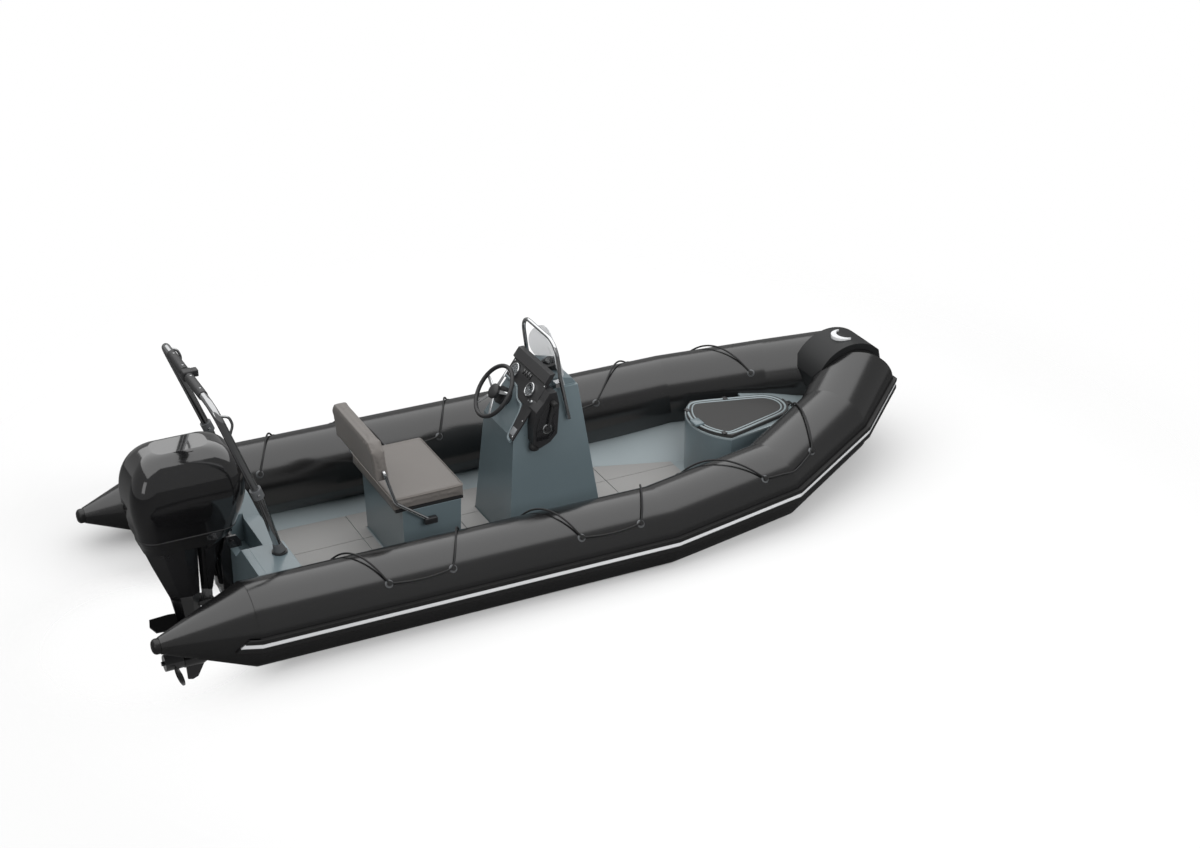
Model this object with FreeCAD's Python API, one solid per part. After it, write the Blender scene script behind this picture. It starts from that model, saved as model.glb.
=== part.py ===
"""Rigid inflatable boat with console, seat, roll bar and outboard engine.

Millimetres, +X to the bow, +Y to port, +Z up.  The origin lies on the waterline, on the
centreline, amidships.  One STEP file is written for each sub-part.
"""
import FreeCAD, Part
import math
import os

Vec = FreeCAD.Vector

# ---------------------------------------------------------------- driving dimensions
GAP = 0.3                  # running and seating clearance
TUBE_R = 250.0             # inflated tube, outer radius
TUBE_END_X = -2100.0       # where the tube cylinder ends and the tail cone starts
CONE_TIP_X = -2612.0       # small end of the tail cone
CONE_TIP_R = 50.0
TIP_CAP_LENGTH = 45.0
AFT_Y = 830.0              # tube axis from the centreline, aft
# tube axis corners of the port side: x, y, z
TUBE_CORNERS = [
    (TUBE_END_X, AFT_Y, 200.0),
    (534.0, AFT_Y, 172.0),
    (1406.0, 721.0, 228.0),
    (2064.0, 405.0, 348.0),
    (2376.0, 150.0, 452.0),
]

TRANSOM_AFT_X = -1960.0
TRANSOM_T = 45.0
TRANSOM_FRONT_X = TRANSOM_AFT_X + TRANSOM_T
TRANSOM_NOTCH_Z = 280.0    # top of the transom where the engine hangs
TRANSOM_NOTCH_Y = 210.0
QUARTER_Z = 385.0          # top of the quarters beside the notch
QUARTER_Y = 330.0

DECK_T = 25.0
SOLE_Z = -60.0
# hull and deck sections: x, keel z, chine y, chine z, sole half width, sole z, edge y, edge z
SECTIONS = [
    (TRANSOM_FRONT_X, -275.0, 620.0, -97.0, 560.0, SOLE_Z, 730.0, 5.0),
    (534.0, -270.0, 612.0, -92.0, 500.0, SOLE_Z, 715.0, 0.0),
    (1000.0, -250.0, 575.0, -62.0, 330.0, SOLE_Z, 650.0, 50.0),
    (1406.0, -205.0, 480.0, -5.0, 200.0, SOLE_Z, 540.0, 115.0),
    (1800.0, -120.0, 330.0, 75.0, 90.0, -40.0, 400.0, 190.0),
    (2064.0, -20.0, 215.0, 140.0, 60.0, 60.0, 290.0, 250.0),
    (2330.0, 130.0, 60.0, 195.0, 25.0, 215.0, 120.0, TUBE_CORNERS[-1][2] - TUBE_R + 63.0),
]

PANEL_T = 6.0              # floor panels on the sole
PANEL_JOINT = 5.0
# floor outline, port half: x, half width
PANEL_OUTLINE = [(-1560.0, 540.0), (200.0, 498.0), (722.0, 412.0), (1215.0, 250.0)]
PANEL_JOINTS_X = [-1020.0, -380.0, 520.0, 700.0]
PANEL_JOINTS_Y = [-200.0, 200.0]

SEAT_REAR_X = -950.0
SEAT_FRONT_X = -565.0
SEAT_HALF_W = 345.0
SEAT_FOOT_INSET = 12.0
SEAT_BOX_TOP_Z = 395.0
SEAT_WALL = 15.0
SEAT_LID_T = 18.0
CUSHION_REAR_X = -1012.0
CUSHION_FRONT_X = -546.0
CUSHION_HALF_W = 352.0
CUSHION_T = 86.0
CUSHION_EDGE_R = 14.0

BACKREST_PIVOT_X = -779.0
BACKREST_PIVOT_Z = 310.0
BACKREST_HALF_W = 346.0
BACKREST_T = 84.0
BACKREST_LOW_Z = 632.0
BACKREST_TOP_Z = 886.0
BACKREST_LOW_X = -1062.0   # middle of the pad at its lower edge
BACKREST_TOP_X = -1090.0
ARM_Y = 372.0
ARM_R = 11.0
ARM_PIN_R = 9.0

CONSOLE_FLOOR_REAR_X = -216.0
CONSOLE_KNEE_X = -150.0
CONSOLE_KNEE_Z = 655.0
CONSOLE_DASH_X = 100.0
CONSOLE_DASH_Z = 990.0
CONSOLE_TOP_FRONT_X = 270.0
CONSOLE_SHOULDER_Z = 925.0
CONSOLE_FRONT_X = 300.0
CONSOLE_FLOOR_FRONT_X = 440.0
CONSOLE_TOP_HALF_W = 205.0
CONSOLE_FOOT_HALF_W = 272.0
DASH_OVERHANG = 30.0

WHEEL_Y = 90.0
WHEEL_STANDOFF = 104.0     # wheel plane above the dash
WHEEL_DOWN = 262.0         # along the dash, from its upper edge
WHEEL_R = 184.0
WHEEL_RIM_R = 12.0
WHEEL_HUB_R = 42.0
HELM_R = 58.0

RAIL_R = 12.5
RAIL_Y = 246.0
RAIL_TOP_Z = 1252.0

ROLL_BAR_R = 24.0
# roll bar centre line, port half, from the foot: x, y, z
ROLL_BAR_POINTS = [
    (-1764.0, 452.0, QUARTER_Z + 12.0),
    (-1859.0, 470.0, 765.0),
    (-2093.0, 505.0, 1412.0),
]
ROLL_BAR_BENDS = [300.0, 100.0]
GRAB_BAR_R = 8.0

LOCKER_TOP_Z = 330.0
LOCKER_AFT_X = 1235.0      # middle of the curved aft face
LOCKER_CORNER = (1370.0, 290.0)
LOCKER_FLOOR_Z = 40.0
LOCKER_WALL = 26.0
LID_T = 22.0
LID_NOSE_X = 1945.0
LID_SIDE = (1830.0, 165.0)
LID_HINGE_X = 1955.0

TILT_X = -1950.0           # tilt tube
TILT_Z = 328.0
TILT_TUBE_R = 14.0
KING_X = -2100.0           # steering axis
KING_R = 16.0
KING_HOUSING_R = 33.0
KING_LOW_Z = -60.0
KING_HIGH_Z = 300.0
RAM_LOW = (-1996.0, -40.0) # lower pivot of the tilt ram: x, z
RAM_EYE = (-2030.0, 218.0)
RAM_BARREL_R = 21.0
RAM_ROD_R = 10.0

PROP_X = KING_X - 245.0
PROP_Z = -467.0
PROP_R = 172.0
PROP_HUB_R = 52.0
PROP_SHAFT_R = 14.0
CAVITATION_Z = -195.0
SKEG_Z = -625.0
COWL_WALL = 12.0


# ---------------------------------------------------------------- geometry helpers
def box(x_range, y_range, z_range):
    """Box between two values on each axis."""
    size = [high - low for low, high in (x_range, y_range, z_range)]
    return Part.makeBox(*size, Vec(x_range[0], y_range[0], z_range[0]))


def polygon_face(points):
    return Part.Face(Part.makePolygon(points + [points[0]]))


def prism_xz(points, y_low, y_high):
    """Outline in X and Z, extruded along Y."""
    face = polygon_face([Vec(x, y_low, z) for x, z in points])
    return face.extrude(Vec(0, y_high - y_low, 0))


def prism_yz(points, x_low, x_high):
    """Outline in Y and Z, extruded along X."""
    face = polygon_face([Vec(x_low, y, z) for y, z in points])
    return face.extrude(Vec(x_high - x_low, 0, 0))


def prism_xy(points, z_low, z_high):
    """Outline in X and Y, extruded along Z."""
    face = polygon_face([Vec(x, y, z_low) for x, y in points])
    return face.extrude(Vec(0, 0, z_high - z_low))


def rod(start, end, radius):
    """Round bar between two points."""
    axis = Vec(*end) - Vec(*start)
    return Part.makeCylinder(radius, axis.Length, Vec(*start), axis)


def loft(wires, ruled=True):
    return Part.makeLoft(wires, True, ruled)


def half_space(point, normal, size=9000.0):
    """Large box on the side of a plane that the normal points to."""
    block = Part.makeBox(size, size, size, Vec(-size / 2, -size / 2, 0))
    block.Placement = FreeCAD.Placement(point, FreeCAD.Rotation(Vec(0, 0, 1), normal))
    return block


def mirror_y(shape):
    return shape.mirror(Vec(0, 0, 0), Vec(0, 1, 0))


def both_sides(shape):
    return Part.makeCompound([shape, mirror_y(shape)])


def fuse(shapes):
    """One solid out of pieces that touch or overlap."""
    result = shapes[0].fuse(shapes[1:])
    return result.removeSplitter()


def mitred_run(points, section, start_normal=None, end_normal=None):
    """Straight lengths of one section that meet in mitres.

    section(start, end) gives a solid that runs well past both ends.
    """
    corners = [Vec(*point) for point in points]
    runs = [(b - a).normalize() for a, b in zip(corners, corners[1:])]
    normals = [start_normal or runs[0]]
    normals += [(a + b).normalize() for a, b in zip(runs, runs[1:])]
    normals.append(end_normal or runs[-1])
    pieces = []
    for index, direction in enumerate(runs):
        start, end = corners[index], corners[index + 1]
        piece = section(start - direction * 500, end + direction * 500)
        piece = piece.common(half_space(start, normals[index]))
        piece = piece.common(half_space(end, normals[index + 1] * -1))
        pieces.append(piece)
    return pieces


def bent_path(points, bend_radii):
    """Wire of straight runs joined by tangent arcs."""
    corners = [Vec(*point) for point in points]
    edges = []
    last = corners[0]
    for index, radius in enumerate(bend_radii, start=1):
        corner = corners[index]
        back = (corners[index - 1] - corner).normalize()
        ahead = (corners[index + 1] - corner).normalize()
        opening = back.getAngle(ahead)
        trim = radius / math.tan(opening / 2)
        bisector = (back + ahead).normalize()
        middle = corner + bisector * (radius / math.sin(opening / 2) - radius)
        start = corner + back * trim
        end = corner + ahead * trim
        if (start - last).Length > 0.01:
            edges.append(Part.LineSegment(last, start).toShape())
        edges.append(Part.Arc(start, middle, end).toShape())
        last = end
    edges.append(Part.LineSegment(last, corners[-1]).toShape())
    return Part.Wire(edges)


def bent_tube(points, bend_radii, radius):
    """Round bar along straight runs and tangent arcs."""
    path = bent_path(points, bend_radii)
    direction = Vec(*points[1]) - Vec(*points[0])
    circle = Part.Wire(Part.makeCircle(radius, Vec(*points[0]), direction))
    return path.makePipeShell([circle], True, True)


def rounded_outline(half_x, half_y, radius, x_middle, z):
    """Closed wire of lines and arcs round a rectangle at one height."""
    corner_middles = [
        (half_x - radius, half_y - radius, 0),
        (radius - half_x, half_y - radius, 90),
        (radius - half_x, radius - half_y, 180),
        (half_x - radius, radius - half_y, 270),
    ]
    ends = []
    for x, y, angle in corner_middles:
        arc = []
        for turn in (angle, angle + 45, angle + 90):
            step = Vec(math.cos(math.radians(turn)), math.sin(math.radians(turn)), 0)
            arc.append(Vec(x_middle + x, y, z) + step * radius)
        ends.append(arc)
    edges = []
    for index, arc in enumerate(ends):
        edges.append(Part.Arc(*arc).toShape())
        following = ends[(index + 1) % len(ends)][0]
        edges.append(Part.LineSegment(arc[2], following).toShape())
    return Part.Wire(edges)


# ---------------------------------------------------------------- tubes
def mirrored(points):
    return [(x, -y, z) for x, y, z in points]


BOW_CORNER = Vec(*TUBE_CORNERS[-1])
BOW_RUN = (BOW_CORNER - Vec(*TUBE_CORNERS[-2])).normalize()
BOW_MITRE = (BOW_RUN + Vec(0, -1, 0)).normalize()


def round_section(radius):
    def section(start, end):
        return rod(start, end, radius)
    return section


def side_tube(radius=TUBE_R):
    """Port tube as one fabric cylinder, mitred at its corners."""
    pieces = mitred_run(TUBE_CORNERS, round_section(radius), Vec(1, 0, 0), BOW_MITRE)
    return fuse(pieces)


def nose_tube(radius=TUBE_R):
    """Short cross tube that joins both sides at the bow."""
    ends = [tuple(BOW_CORNER), mirrored([tuple(BOW_CORNER)])[0]]
    end_normal = Vec(-BOW_MITRE.x, BOW_MITRE.y, -BOW_MITRE.z)
    return mitred_run(ends, round_section(radius), BOW_MITRE, end_normal)[0]


def tail_cone():
    start = Vec(*TUBE_CORNERS[0])
    length = TUBE_END_X - CONE_TIP_X
    return Part.makeCone(TUBE_R, CONE_TIP_R, length, start, Vec(-1, 0, 0))


def tip_cap():
    """Domed rubber cap on the small end of the cone."""
    centre = Vec(CONE_TIP_X, AFT_Y, TUBE_CORNERS[0][2])
    radius = CONE_TIP_R - 4
    barrel = Part.makeCylinder(radius, TIP_CAP_LENGTH, centre, Vec(-1, 0, 0))
    end_x = CONE_TIP_X - TIP_CAP_LENGTH
    rims = [edge for edge in barrel.Edges if edge.BoundBox.XMax < end_x + 1]
    return barrel.makeFillet(TIP_CAP_LENGTH * 0.6, rims)


PORT_TUBE = side_tube()
STARBOARD_TUBE = mirror_y(PORT_TUBE)
NOSE_TUBE = nose_tube()
# the same tubes with the seating clearance, for everything that is cut to fit them
TUBE_SEATS = [side_tube(TUBE_R + GAP), nose_tube(TUBE_R + GAP)]
TUBE_SEATS.append(mirror_y(TUBE_SEATS[0]))


def cut_to_tubes(shape):
    return shape.cut(TUBE_SEATS)


STRAKE_HALF_H = 40.0
STRAKE_T = 22.0
BEAD_T = 12.0
STRIPE_HALF_H = 13.0
STRAKE_ROOT = 8.0          # how far the strake's back lies inside the tube before the cut


def outer_line(offset):
    """Corners of the line that runs along the widest part of the tubes, port side."""
    axis = [Vec(*point) for point in TUBE_CORNERS] + [Vec(BOW_CORNER.x, 0, BOW_CORNER.z)]
    runs = [(b - a) for a, b in zip(axis, axis[1:])]
    outward = [Vec(-run.y, run.x, 0).normalize() for run in runs]
    line = [axis[0] + outward[0] * offset]
    for index in range(1, len(axis) - 1):
        middle = (outward[index - 1] + outward[index]).normalize()
        reach = offset / middle.dot(outward[index])
        line.append(axis[index] + middle * reach)
    line.append(axis[-1] + outward[-1] * offset)
    return [tuple(point) for point in line]


def strip_section(half_height, inner, outer):
    """Flat strip that stands upright, between two distances from the line."""
    def section(start, end):
        run = end - start
        out = Vec(-run.y, run.x, 0).normalize()
        corners = []
        for reach, height in ((inner, -1), (outer, -1), (outer, 1), (inner, 1)):
            corners.append(start + out * reach + Vec(0, 0, height * half_height))
        return polygon_face(corners).extrude(run)
    return section


def side_strip(half_height, inner, outer):
    line = outer_line(TUBE_R)
    return fuse(mitred_run(line, strip_section(half_height, inner, outer),
                           Vec(1, 0, 0), Vec(0, -1, 0)))


def strake():
    """Rubbing strake on the port side, with a groove for the light stripe."""
    band = side_strip(STRAKE_HALF_H, -STRAKE_ROOT, STRAKE_T)
    groove = side_strip(STRIPE_HALF_H + GAP, BEAD_T, STRAKE_T + 10)
    return cut_to_tubes(band.cut(groove))


def stripe():
    """Light strip that lies in the strake's groove."""
    return side_strip(STRIPE_HALF_H, BEAD_T + GAP, STRAKE_T - 4)


# ---------------------------------------------------------------- hull and deck
def tube_axis_at(x):
    """Height and distance from the centreline of the tube axis."""
    for (x0, y0, z0), (x1, y1, z1) in zip(TUBE_CORNERS, TUBE_CORNERS[1:]):
        if x <= x1:
            break
    share = (x - x0) / (x1 - x0)
    return y0 + share * (y1 - y0), z0 + share * (z1 - z0)


def closed_section(x, half):
    """Symmetric closed wire from the points of its port half."""
    port = [Vec(x, y, z) for y, z in half]
    starboard = [Vec(x, -y, z) for y, z in reversed(half) if y > 0]
    points = port + starboard
    return Part.makePolygon(points + [points[0]])


def hull():
    """V bottom with chines, closed on top where the deck lies on it."""
    wires = []
    for x, keel_z, chine_y, chine_z, sole_y, sole_z, edge_y, edge_z in SECTIONS:
        axis_y, axis_z = tube_axis_at(x)
        seat = (axis_y - 60, axis_z - TUBE_R + 50)
        half = [(0, keel_z), (chine_y, chine_z), seat,
                (edge_y, edge_z - DECK_T), (sole_y, sole_z - DECK_T)]
        wires.append(closed_section(x, half))
    return cut_to_tubes(loft(wires))


def deck():
    """Moulded deck: flat sole with side strips that rise to the tubes."""
    wires = []
    for x, keel_z, chine_y, chine_z, sole_y, sole_z, edge_y, edge_z in SECTIONS:
        half = [(sole_y, sole_z - DECK_T), (edge_y, edge_z - DECK_T),
                (edge_y, edge_z), (sole_y, sole_z)]
        wires.append(closed_section(x, half))
    return cut_to_tubes(loft(wires))


def above_deck():
    """Everything over the deck, for the mouldings that stand on it."""
    wires = []
    for x, _, _, _, sole_y, sole_z, edge_y, edge_z in SECTIONS:
        half = [(sole_y, sole_z), (edge_y, edge_z), (edge_y, HEADROOM_Z)]
        wires.append(closed_section(x, half))
    return cut_to_tubes(loft(wires))


HEADROOM_Z = 900.0
DECK = deck()
COCKPIT = above_deck()


def floor_panels():
    """Panels on the sole, with open joints, clear of the seat box and the console."""
    outline = PANEL_OUTLINE + [(x, -y) for x, y in reversed(PANEL_OUTLINE)]
    sheet = prism_xy(outline, SOLE_Z, SOLE_Z + PANEL_T)
    cuts = []
    for x in PANEL_JOINTS_X:
        cuts.append(box((x, x + PANEL_JOINT), (-900, 900), (SOLE_Z, SOLE_Z + 20)))
    for y in PANEL_JOINTS_Y:
        cuts.append(box((-1700, 1400), (y, y + PANEL_JOINT), (SOLE_Z, SOLE_Z + 20)))
    seat_foot = SEAT_HALF_W - SEAT_FOOT_INSET + PANEL_JOINT
    cuts.append(box((SEAT_REAR_X, SEAT_FRONT_X + PANEL_JOINT), (-seat_foot, seat_foot),
                    (SOLE_Z, SOLE_Z + 20)))
    console_foot = CONSOLE_FOOT_HALF_W + PANEL_JOINT
    cuts.append(box((CONSOLE_FLOOR_REAR_X - PANEL_JOINT, CONSOLE_FLOOR_FRONT_X + PANEL_JOINT),
                    (-console_foot, console_foot), (SOLE_Z, SOLE_Z + 20)))
    return sheet.cut(cuts)


def stern_outline(low):
    """Top edge of the transom and of the moulding in front of it, in Y and Z."""
    return [(-760, QUARTER_Z), (-QUARTER_Y, QUARTER_Z), (-TRANSOM_NOTCH_Y, TRANSOM_NOTCH_Z),
            (TRANSOM_NOTCH_Y, TRANSOM_NOTCH_Z), (QUARTER_Y, QUARTER_Z), (760, QUARTER_Z)] + low


def transom():
    """Board that closes the stern and carries the engine."""
    x, keel_z, chine_y, chine_z = SECTIONS[0][:4]
    axis_y, axis_z = tube_axis_at(x)
    seat = (axis_y - 60, axis_z - TUBE_R + 50)
    low = [seat, (chine_y, chine_z), (0, keel_z), (-chine_y, chine_z), (-seat[0], seat[1])]
    board = prism_yz(stern_outline(low), TRANSOM_AFT_X, TRANSOM_FRONT_X)
    return cut_to_tubes(board)


WELL_FRONT_X = -1775.0
WELL_FLOOR_Z = 110.0
WELL_HALF_W = 235.0
MOULDING_TOP_X = -1705.0
MOULDING_FOOT_X = -1580.0


def stern_moulding():
    """Quarter boxes and splash well in front of the transom."""
    low = [(760, SOLE_Z - 10), (-760, SOLE_Z - 10)]
    block = prism_yz(stern_outline(low), TRANSOM_FRONT_X, MOULDING_FOOT_X)
    profile = [(TRANSOM_FRONT_X, SOLE_Z - 10), (TRANSOM_FRONT_X, QUARTER_Z + 10),
               (MOULDING_TOP_X, QUARTER_Z + 10), (MOULDING_FOOT_X, SOLE_Z - 10)]
    block = block.common(prism_xz(profile, -800, 800))
    well = box((TRANSOM_FRONT_X, WELL_FRONT_X), (-WELL_HALF_W, WELL_HALF_W),
               (WELL_FLOOR_Z, QUARTER_Z + 50))
    return block.cut(well).common(COCKPIT)


# ---------------------------------------------------------------- bow
def locker_outline(corner, aft_x, side, nose_x):
    """D-shaped outline with a curved aft edge, as a closed wire at height zero."""
    corner_x, corner_y = corner
    side_x, side_y = side
    port_corner, starboard_corner = Vec(corner_x, corner_y, 0), Vec(corner_x, -corner_y, 0)
    port_side, starboard_side = Vec(side_x, side_y, 0), Vec(side_x, -side_y, 0)
    edges = [
        Part.Arc(starboard_corner, Vec(aft_x, 0, 0), port_corner).toShape(),
        Part.LineSegment(port_corner, port_side).toShape(),
        Part.Arc(port_side, Vec(nose_x, 0, 0), starboard_side).toShape(),
        Part.LineSegment(starboard_side, starboard_corner).toShape(),
    ]
    return Part.Wire(edges)


def extruded_wire(wire, z_low, z_high):
    face = Part.Face(wire)
    face.translate(Vec(0, 0, z_low))
    return face.extrude(Vec(0, 0, z_high - z_low))


BOW_DECK_FRONT_X = 2240.0


def bow_locker():
    """Locker moulding between the tubes, open under its lid."""
    corner_x, corner_y = LOCKER_CORNER
    port_corner, starboard_corner = Vec(corner_x, corner_y, 0), Vec(corner_x, -corner_y, 0)
    rear = Part.Arc(starboard_corner, Vec(LOCKER_AFT_X, 0, 0), port_corner).toShape()
    rim = LOCKER_WALL * 2
    points = [port_corner, Vec(LID_SIDE[0] - 90, LID_SIDE[1] + rim + 18, 0),
              Vec(LID_SIDE[0] - 40, 600, 0), Vec(BOW_DECK_FRONT_X, 600, 0),
              Vec(BOW_DECK_FRONT_X, -600, 0), Vec(LID_SIDE[0] - 40, -600, 0),
              Vec(LID_SIDE[0] - 90, -LID_SIDE[1] - rim - 18, 0), starboard_corner]
    edges = [rear] + [Part.LineSegment(a, b).toShape() for a, b in zip(points, points[1:])]
    block = extruded_wire(Part.Wire(edges), SOLE_Z - 20, LOCKER_TOP_Z)
    wall = LOCKER_WALL
    inner = locker_outline((corner_x + wall, corner_y - wall), LOCKER_AFT_X + wall,
                           (LID_SIDE[0] - 10, LID_SIDE[1] - wall), LID_NOSE_X - wall)
    cavity = extruded_wire(inner, LOCKER_FLOOR_Z, LOCKER_TOP_Z + 50)
    return block.cut(cavity).common(COCKPIT)


def locker_lid():
    outline = locker_outline((LOCKER_CORNER[0] + 8, LOCKER_CORNER[1] - 8), LOCKER_AFT_X + 8,
                             LID_SIDE, LID_NOSE_X)
    plate = extruded_wire(outline, LOCKER_TOP_Z + GAP, LOCKER_TOP_Z + GAP + LID_T)
    lugs = []
    for low, high in ((LID_KNUCKLE / 2 + 1, LID_KNUCKLE), (-LID_KNUCKLE, -LID_KNUCKLE / 2 - 1)):
        lugs.append(rod((LID_HINGE_X, low, LID_HINGE_Z), (LID_HINGE_X, high, LID_HINGE_Z),
                        LID_HINGE_R))
        lugs.append(box((LID_NOSE_X - 20, LID_HINGE_X), (low, high),
                        (LID_HINGE_Z - 4, LID_HINGE_Z + 4)))
    bore = rod((LID_HINGE_X, -LID_KNUCKLE - 5, LID_HINGE_Z),
               (LID_HINGE_X, LID_KNUCKLE + 5, LID_HINGE_Z), LID_PIN_R + GAP)
    return fuse([plate] + lugs).cut(bore)


LID_HINGE_Z = LOCKER_TOP_Z + 12.0
LID_HINGE_R = 7.0
LID_PIN_R = 3.0
LID_KNUCKLE = 44.0


def lid_hinge():
    """Hinge leaf, middle knuckle and pin on the locker top."""
    pin = rod((LID_HINGE_X, -LID_KNUCKLE, LID_HINGE_Z), (LID_HINGE_X, LID_KNUCKLE, LID_HINGE_Z),
              LID_PIN_R)
    knuckle = rod((LID_HINGE_X, -LID_KNUCKLE / 2, LID_HINGE_Z),
                  (LID_HINGE_X, LID_KNUCKLE / 2, LID_HINGE_Z), LID_HINGE_R)
    leaf = box((LID_HINGE_X, LID_HINGE_X + 40), (-LID_KNUCKLE / 2, LID_KNUCKLE / 2),
               (LOCKER_TOP_Z + GAP, LOCKER_TOP_Z + 5))
    web = box((LID_HINGE_X - 3, LID_HINGE_X + 6), (-LID_KNUCKLE / 2, LID_KNUCKLE / 2),
              (LOCKER_TOP_Z + GAP, LID_HINGE_Z))
    return fuse([knuckle, leaf, web, pin])


def bow_step():
    """Moulded tread over the nose tube."""
    outer = Part.makeCylinder(TUBE_R + 42, 300, Vec(BOW_CORNER.x, -150, BOW_CORNER.z),
                              Vec(0, 1, 0))
    keep = prism_xz([(BOW_CORNER.x - 260, 420), (BOW_CORNER.x - 300, 640),
                     (BOW_CORNER.x - 200, 800), (BOW_CORNER.x + 170, 800),
                     (BOW_CORNER.x + 215, 600), (BOW_CORNER.x + 150, 560)], -150, 150)
    return cut_to_tubes(outer.common(keep))


HANDLE_R = 78.0


def bow_handle():
    """Crescent grab handle on the tread."""
    centre = Vec(BOW_CORNER.x + 4, 0, BOW_CORNER.z + TUBE_R + 30)
    disc = Part.makeCylinder(HANDLE_R, 26, centre, Vec(0, 0, 1))
    bite = Part.makeCylinder(HANDLE_R, 60, centre + Vec(40, 0, -10), Vec(0, 0, 1))
    tread = Part.makeCylinder(TUBE_R + 42 + GAP, 300,
                              Vec(BOW_CORNER.x, -150, BOW_CORNER.z), Vec(0, 1, 0))
    return disc.cut([bite, tread])


# ---------------------------------------------------------------- seat
def seat_box():
    """Open box under the seat, with a slight draft."""
    def shell(inset, low_z, high_z):
        rear = SEAT_REAR_X + inset
        front = SEAT_FRONT_X - inset
        half = SEAT_HALF_W - inset
        draft = SEAT_FOOT_INSET
        wires = []
        for z, extra in ((low_z, draft), (high_z, 0)):
            corners = [Vec(rear + extra, -half + extra, z), Vec(front - extra, -half + extra, z),
                       Vec(front - extra, half - extra, z), Vec(rear + extra, half - extra, z)]
            wires.append(Part.makePolygon(corners + [corners[0]]))
        return loft(wires)
    outer = shell(0, SOLE_Z, SEAT_BOX_TOP_Z)
    inner = shell(SEAT_WALL, SOLE_Z + SEAT_WALL, SEAT_BOX_TOP_Z + 40)
    pins = []
    for side in (-1, 1):
        pins.append(rod((BACKREST_PIVOT_X, side * (SEAT_HALF_W - 10), BACKREST_PIVOT_Z),
                        (BACKREST_PIVOT_X, side * (ARM_Y + 14), BACKREST_PIVOT_Z), ARM_PIN_R))
    return fuse([outer.cut(inner)] + pins)


SEAT_HINGE_X = SEAT_FRONT_X + 11.5
SEAT_HINGE_Z = SEAT_BOX_TOP_Z - 7.0
SEAT_HINGE_R = 6.0
SEAT_PIN_R = 2.5
SEAT_KNUCKLE = 60.0


def hinge_barrel(y_low, y_high, radius):
    return rod((SEAT_HINGE_X, y_low, SEAT_HINGE_Z), (SEAT_HINGE_X, y_high, SEAT_HINGE_Z), radius)


def seat_hinge():
    """Middle knuckle and pin under the front edge of the seat lid."""
    leaf = box((SEAT_FRONT_X + GAP, SEAT_HINGE_X), (-SEAT_KNUCKLE, SEAT_KNUCKLE),
               (SEAT_HINGE_Z - 4, SEAT_HINGE_Z + 4))
    return fuse([hinge_barrel(-SEAT_KNUCKLE, SEAT_KNUCKLE, SEAT_HINGE_R),
                 hinge_barrel(-2 * SEAT_KNUCKLE, 2 * SEAT_KNUCKLE, SEAT_PIN_R), leaf])


def seat_lid():
    """Board under the cushion, with its hinge knuckles."""
    low_z = SEAT_BOX_TOP_Z + GAP
    board = box((CUSHION_REAR_X + 20, CUSHION_FRONT_X - 4),
                (-CUSHION_HALF_W + 8, CUSHION_HALF_W - 8), (low_z, low_z + SEAT_LID_T))
    pieces = [board]
    for low, high in ((SEAT_KNUCKLE + 1, 2 * SEAT_KNUCKLE), (-2 * SEAT_KNUCKLE, -SEAT_KNUCKLE - 1)):
        pieces.append(hinge_barrel(low, high, SEAT_HINGE_R))
        pieces.append(box((SEAT_HINGE_X, CUSHION_FRONT_X - 4), (low, high),
                          (SEAT_HINGE_Z, low_z + 2)))
    return fuse(pieces).cut(hinge_barrel(-3 * SEAT_KNUCKLE, 3 * SEAT_KNUCKLE, SEAT_PIN_R + GAP))


CUSHION_LOW_Z = SEAT_BOX_TOP_Z + GAP + SEAT_LID_T


def seat_cushion():
    pad = box((CUSHION_REAR_X, CUSHION_FRONT_X), (-CUSHION_HALF_W, CUSHION_HALF_W),
              (CUSHION_LOW_Z, CUSHION_LOW_Z + CUSHION_T))
    top = CUSHION_LOW_Z + CUSHION_T
    edges = [edge for edge in pad.Edges if edge.BoundBox.ZMin > top - 1]
    return pad.makeFillet(CUSHION_EDGE_R, edges)


def backrest():
    """Pad with chamfered upper corners, leaning aft."""
    half = BACKREST_HALF_W
    low, top = BACKREST_LOW_Z, BACKREST_TOP_Z
    chamfer = 55.0
    face = [(-half, low), (half, low), (half, top - chamfer), (half - chamfer, top),
            (chamfer - half, top), (-half, top - chamfer)]
    wires = []
    for offset in (-BACKREST_T / 2, BACKREST_T / 2):
        points = []
        for y, z in face:
            share = (z - low) / (top - low)
            x = BACKREST_LOW_X + share * (BACKREST_TOP_X - BACKREST_LOW_X)
            points.append(Vec(x + offset, y, z))
        wires.append(Part.makePolygon(points + [points[0]]))
    return loft(wires)


ARM_POINTS = [
    (BACKREST_PIVOT_X, ARM_Y, BACKREST_PIVOT_Z),
    (-1000.0, ARM_Y, 480.0),
    (-1062.0, ARM_Y, 700.0),
    (-1062.0, BACKREST_HALF_W + GAP, 700.0),
]
ARM_BENDS = [70.0, 20.0]


def backrest_arms():
    """Bent bars from the pivots to the ends of the backrest."""
    bar = bent_tube(ARM_POINTS, ARM_BENDS, ARM_R)
    boss = rod((BACKREST_PIVOT_X, ARM_Y - 12, BACKREST_PIVOT_Z),
               (BACKREST_PIVOT_X, ARM_Y + 12, BACKREST_PIVOT_Z), ARM_R + 9)
    bore = rod((BACKREST_PIVOT_X, ARM_Y - 40, BACKREST_PIVOT_Z),
               (BACKREST_PIVOT_X, ARM_Y + 40, BACKREST_PIVOT_Z), ARM_PIN_R + GAP)
    return both_sides(fuse([bar, boss]).cut(bore))


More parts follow.
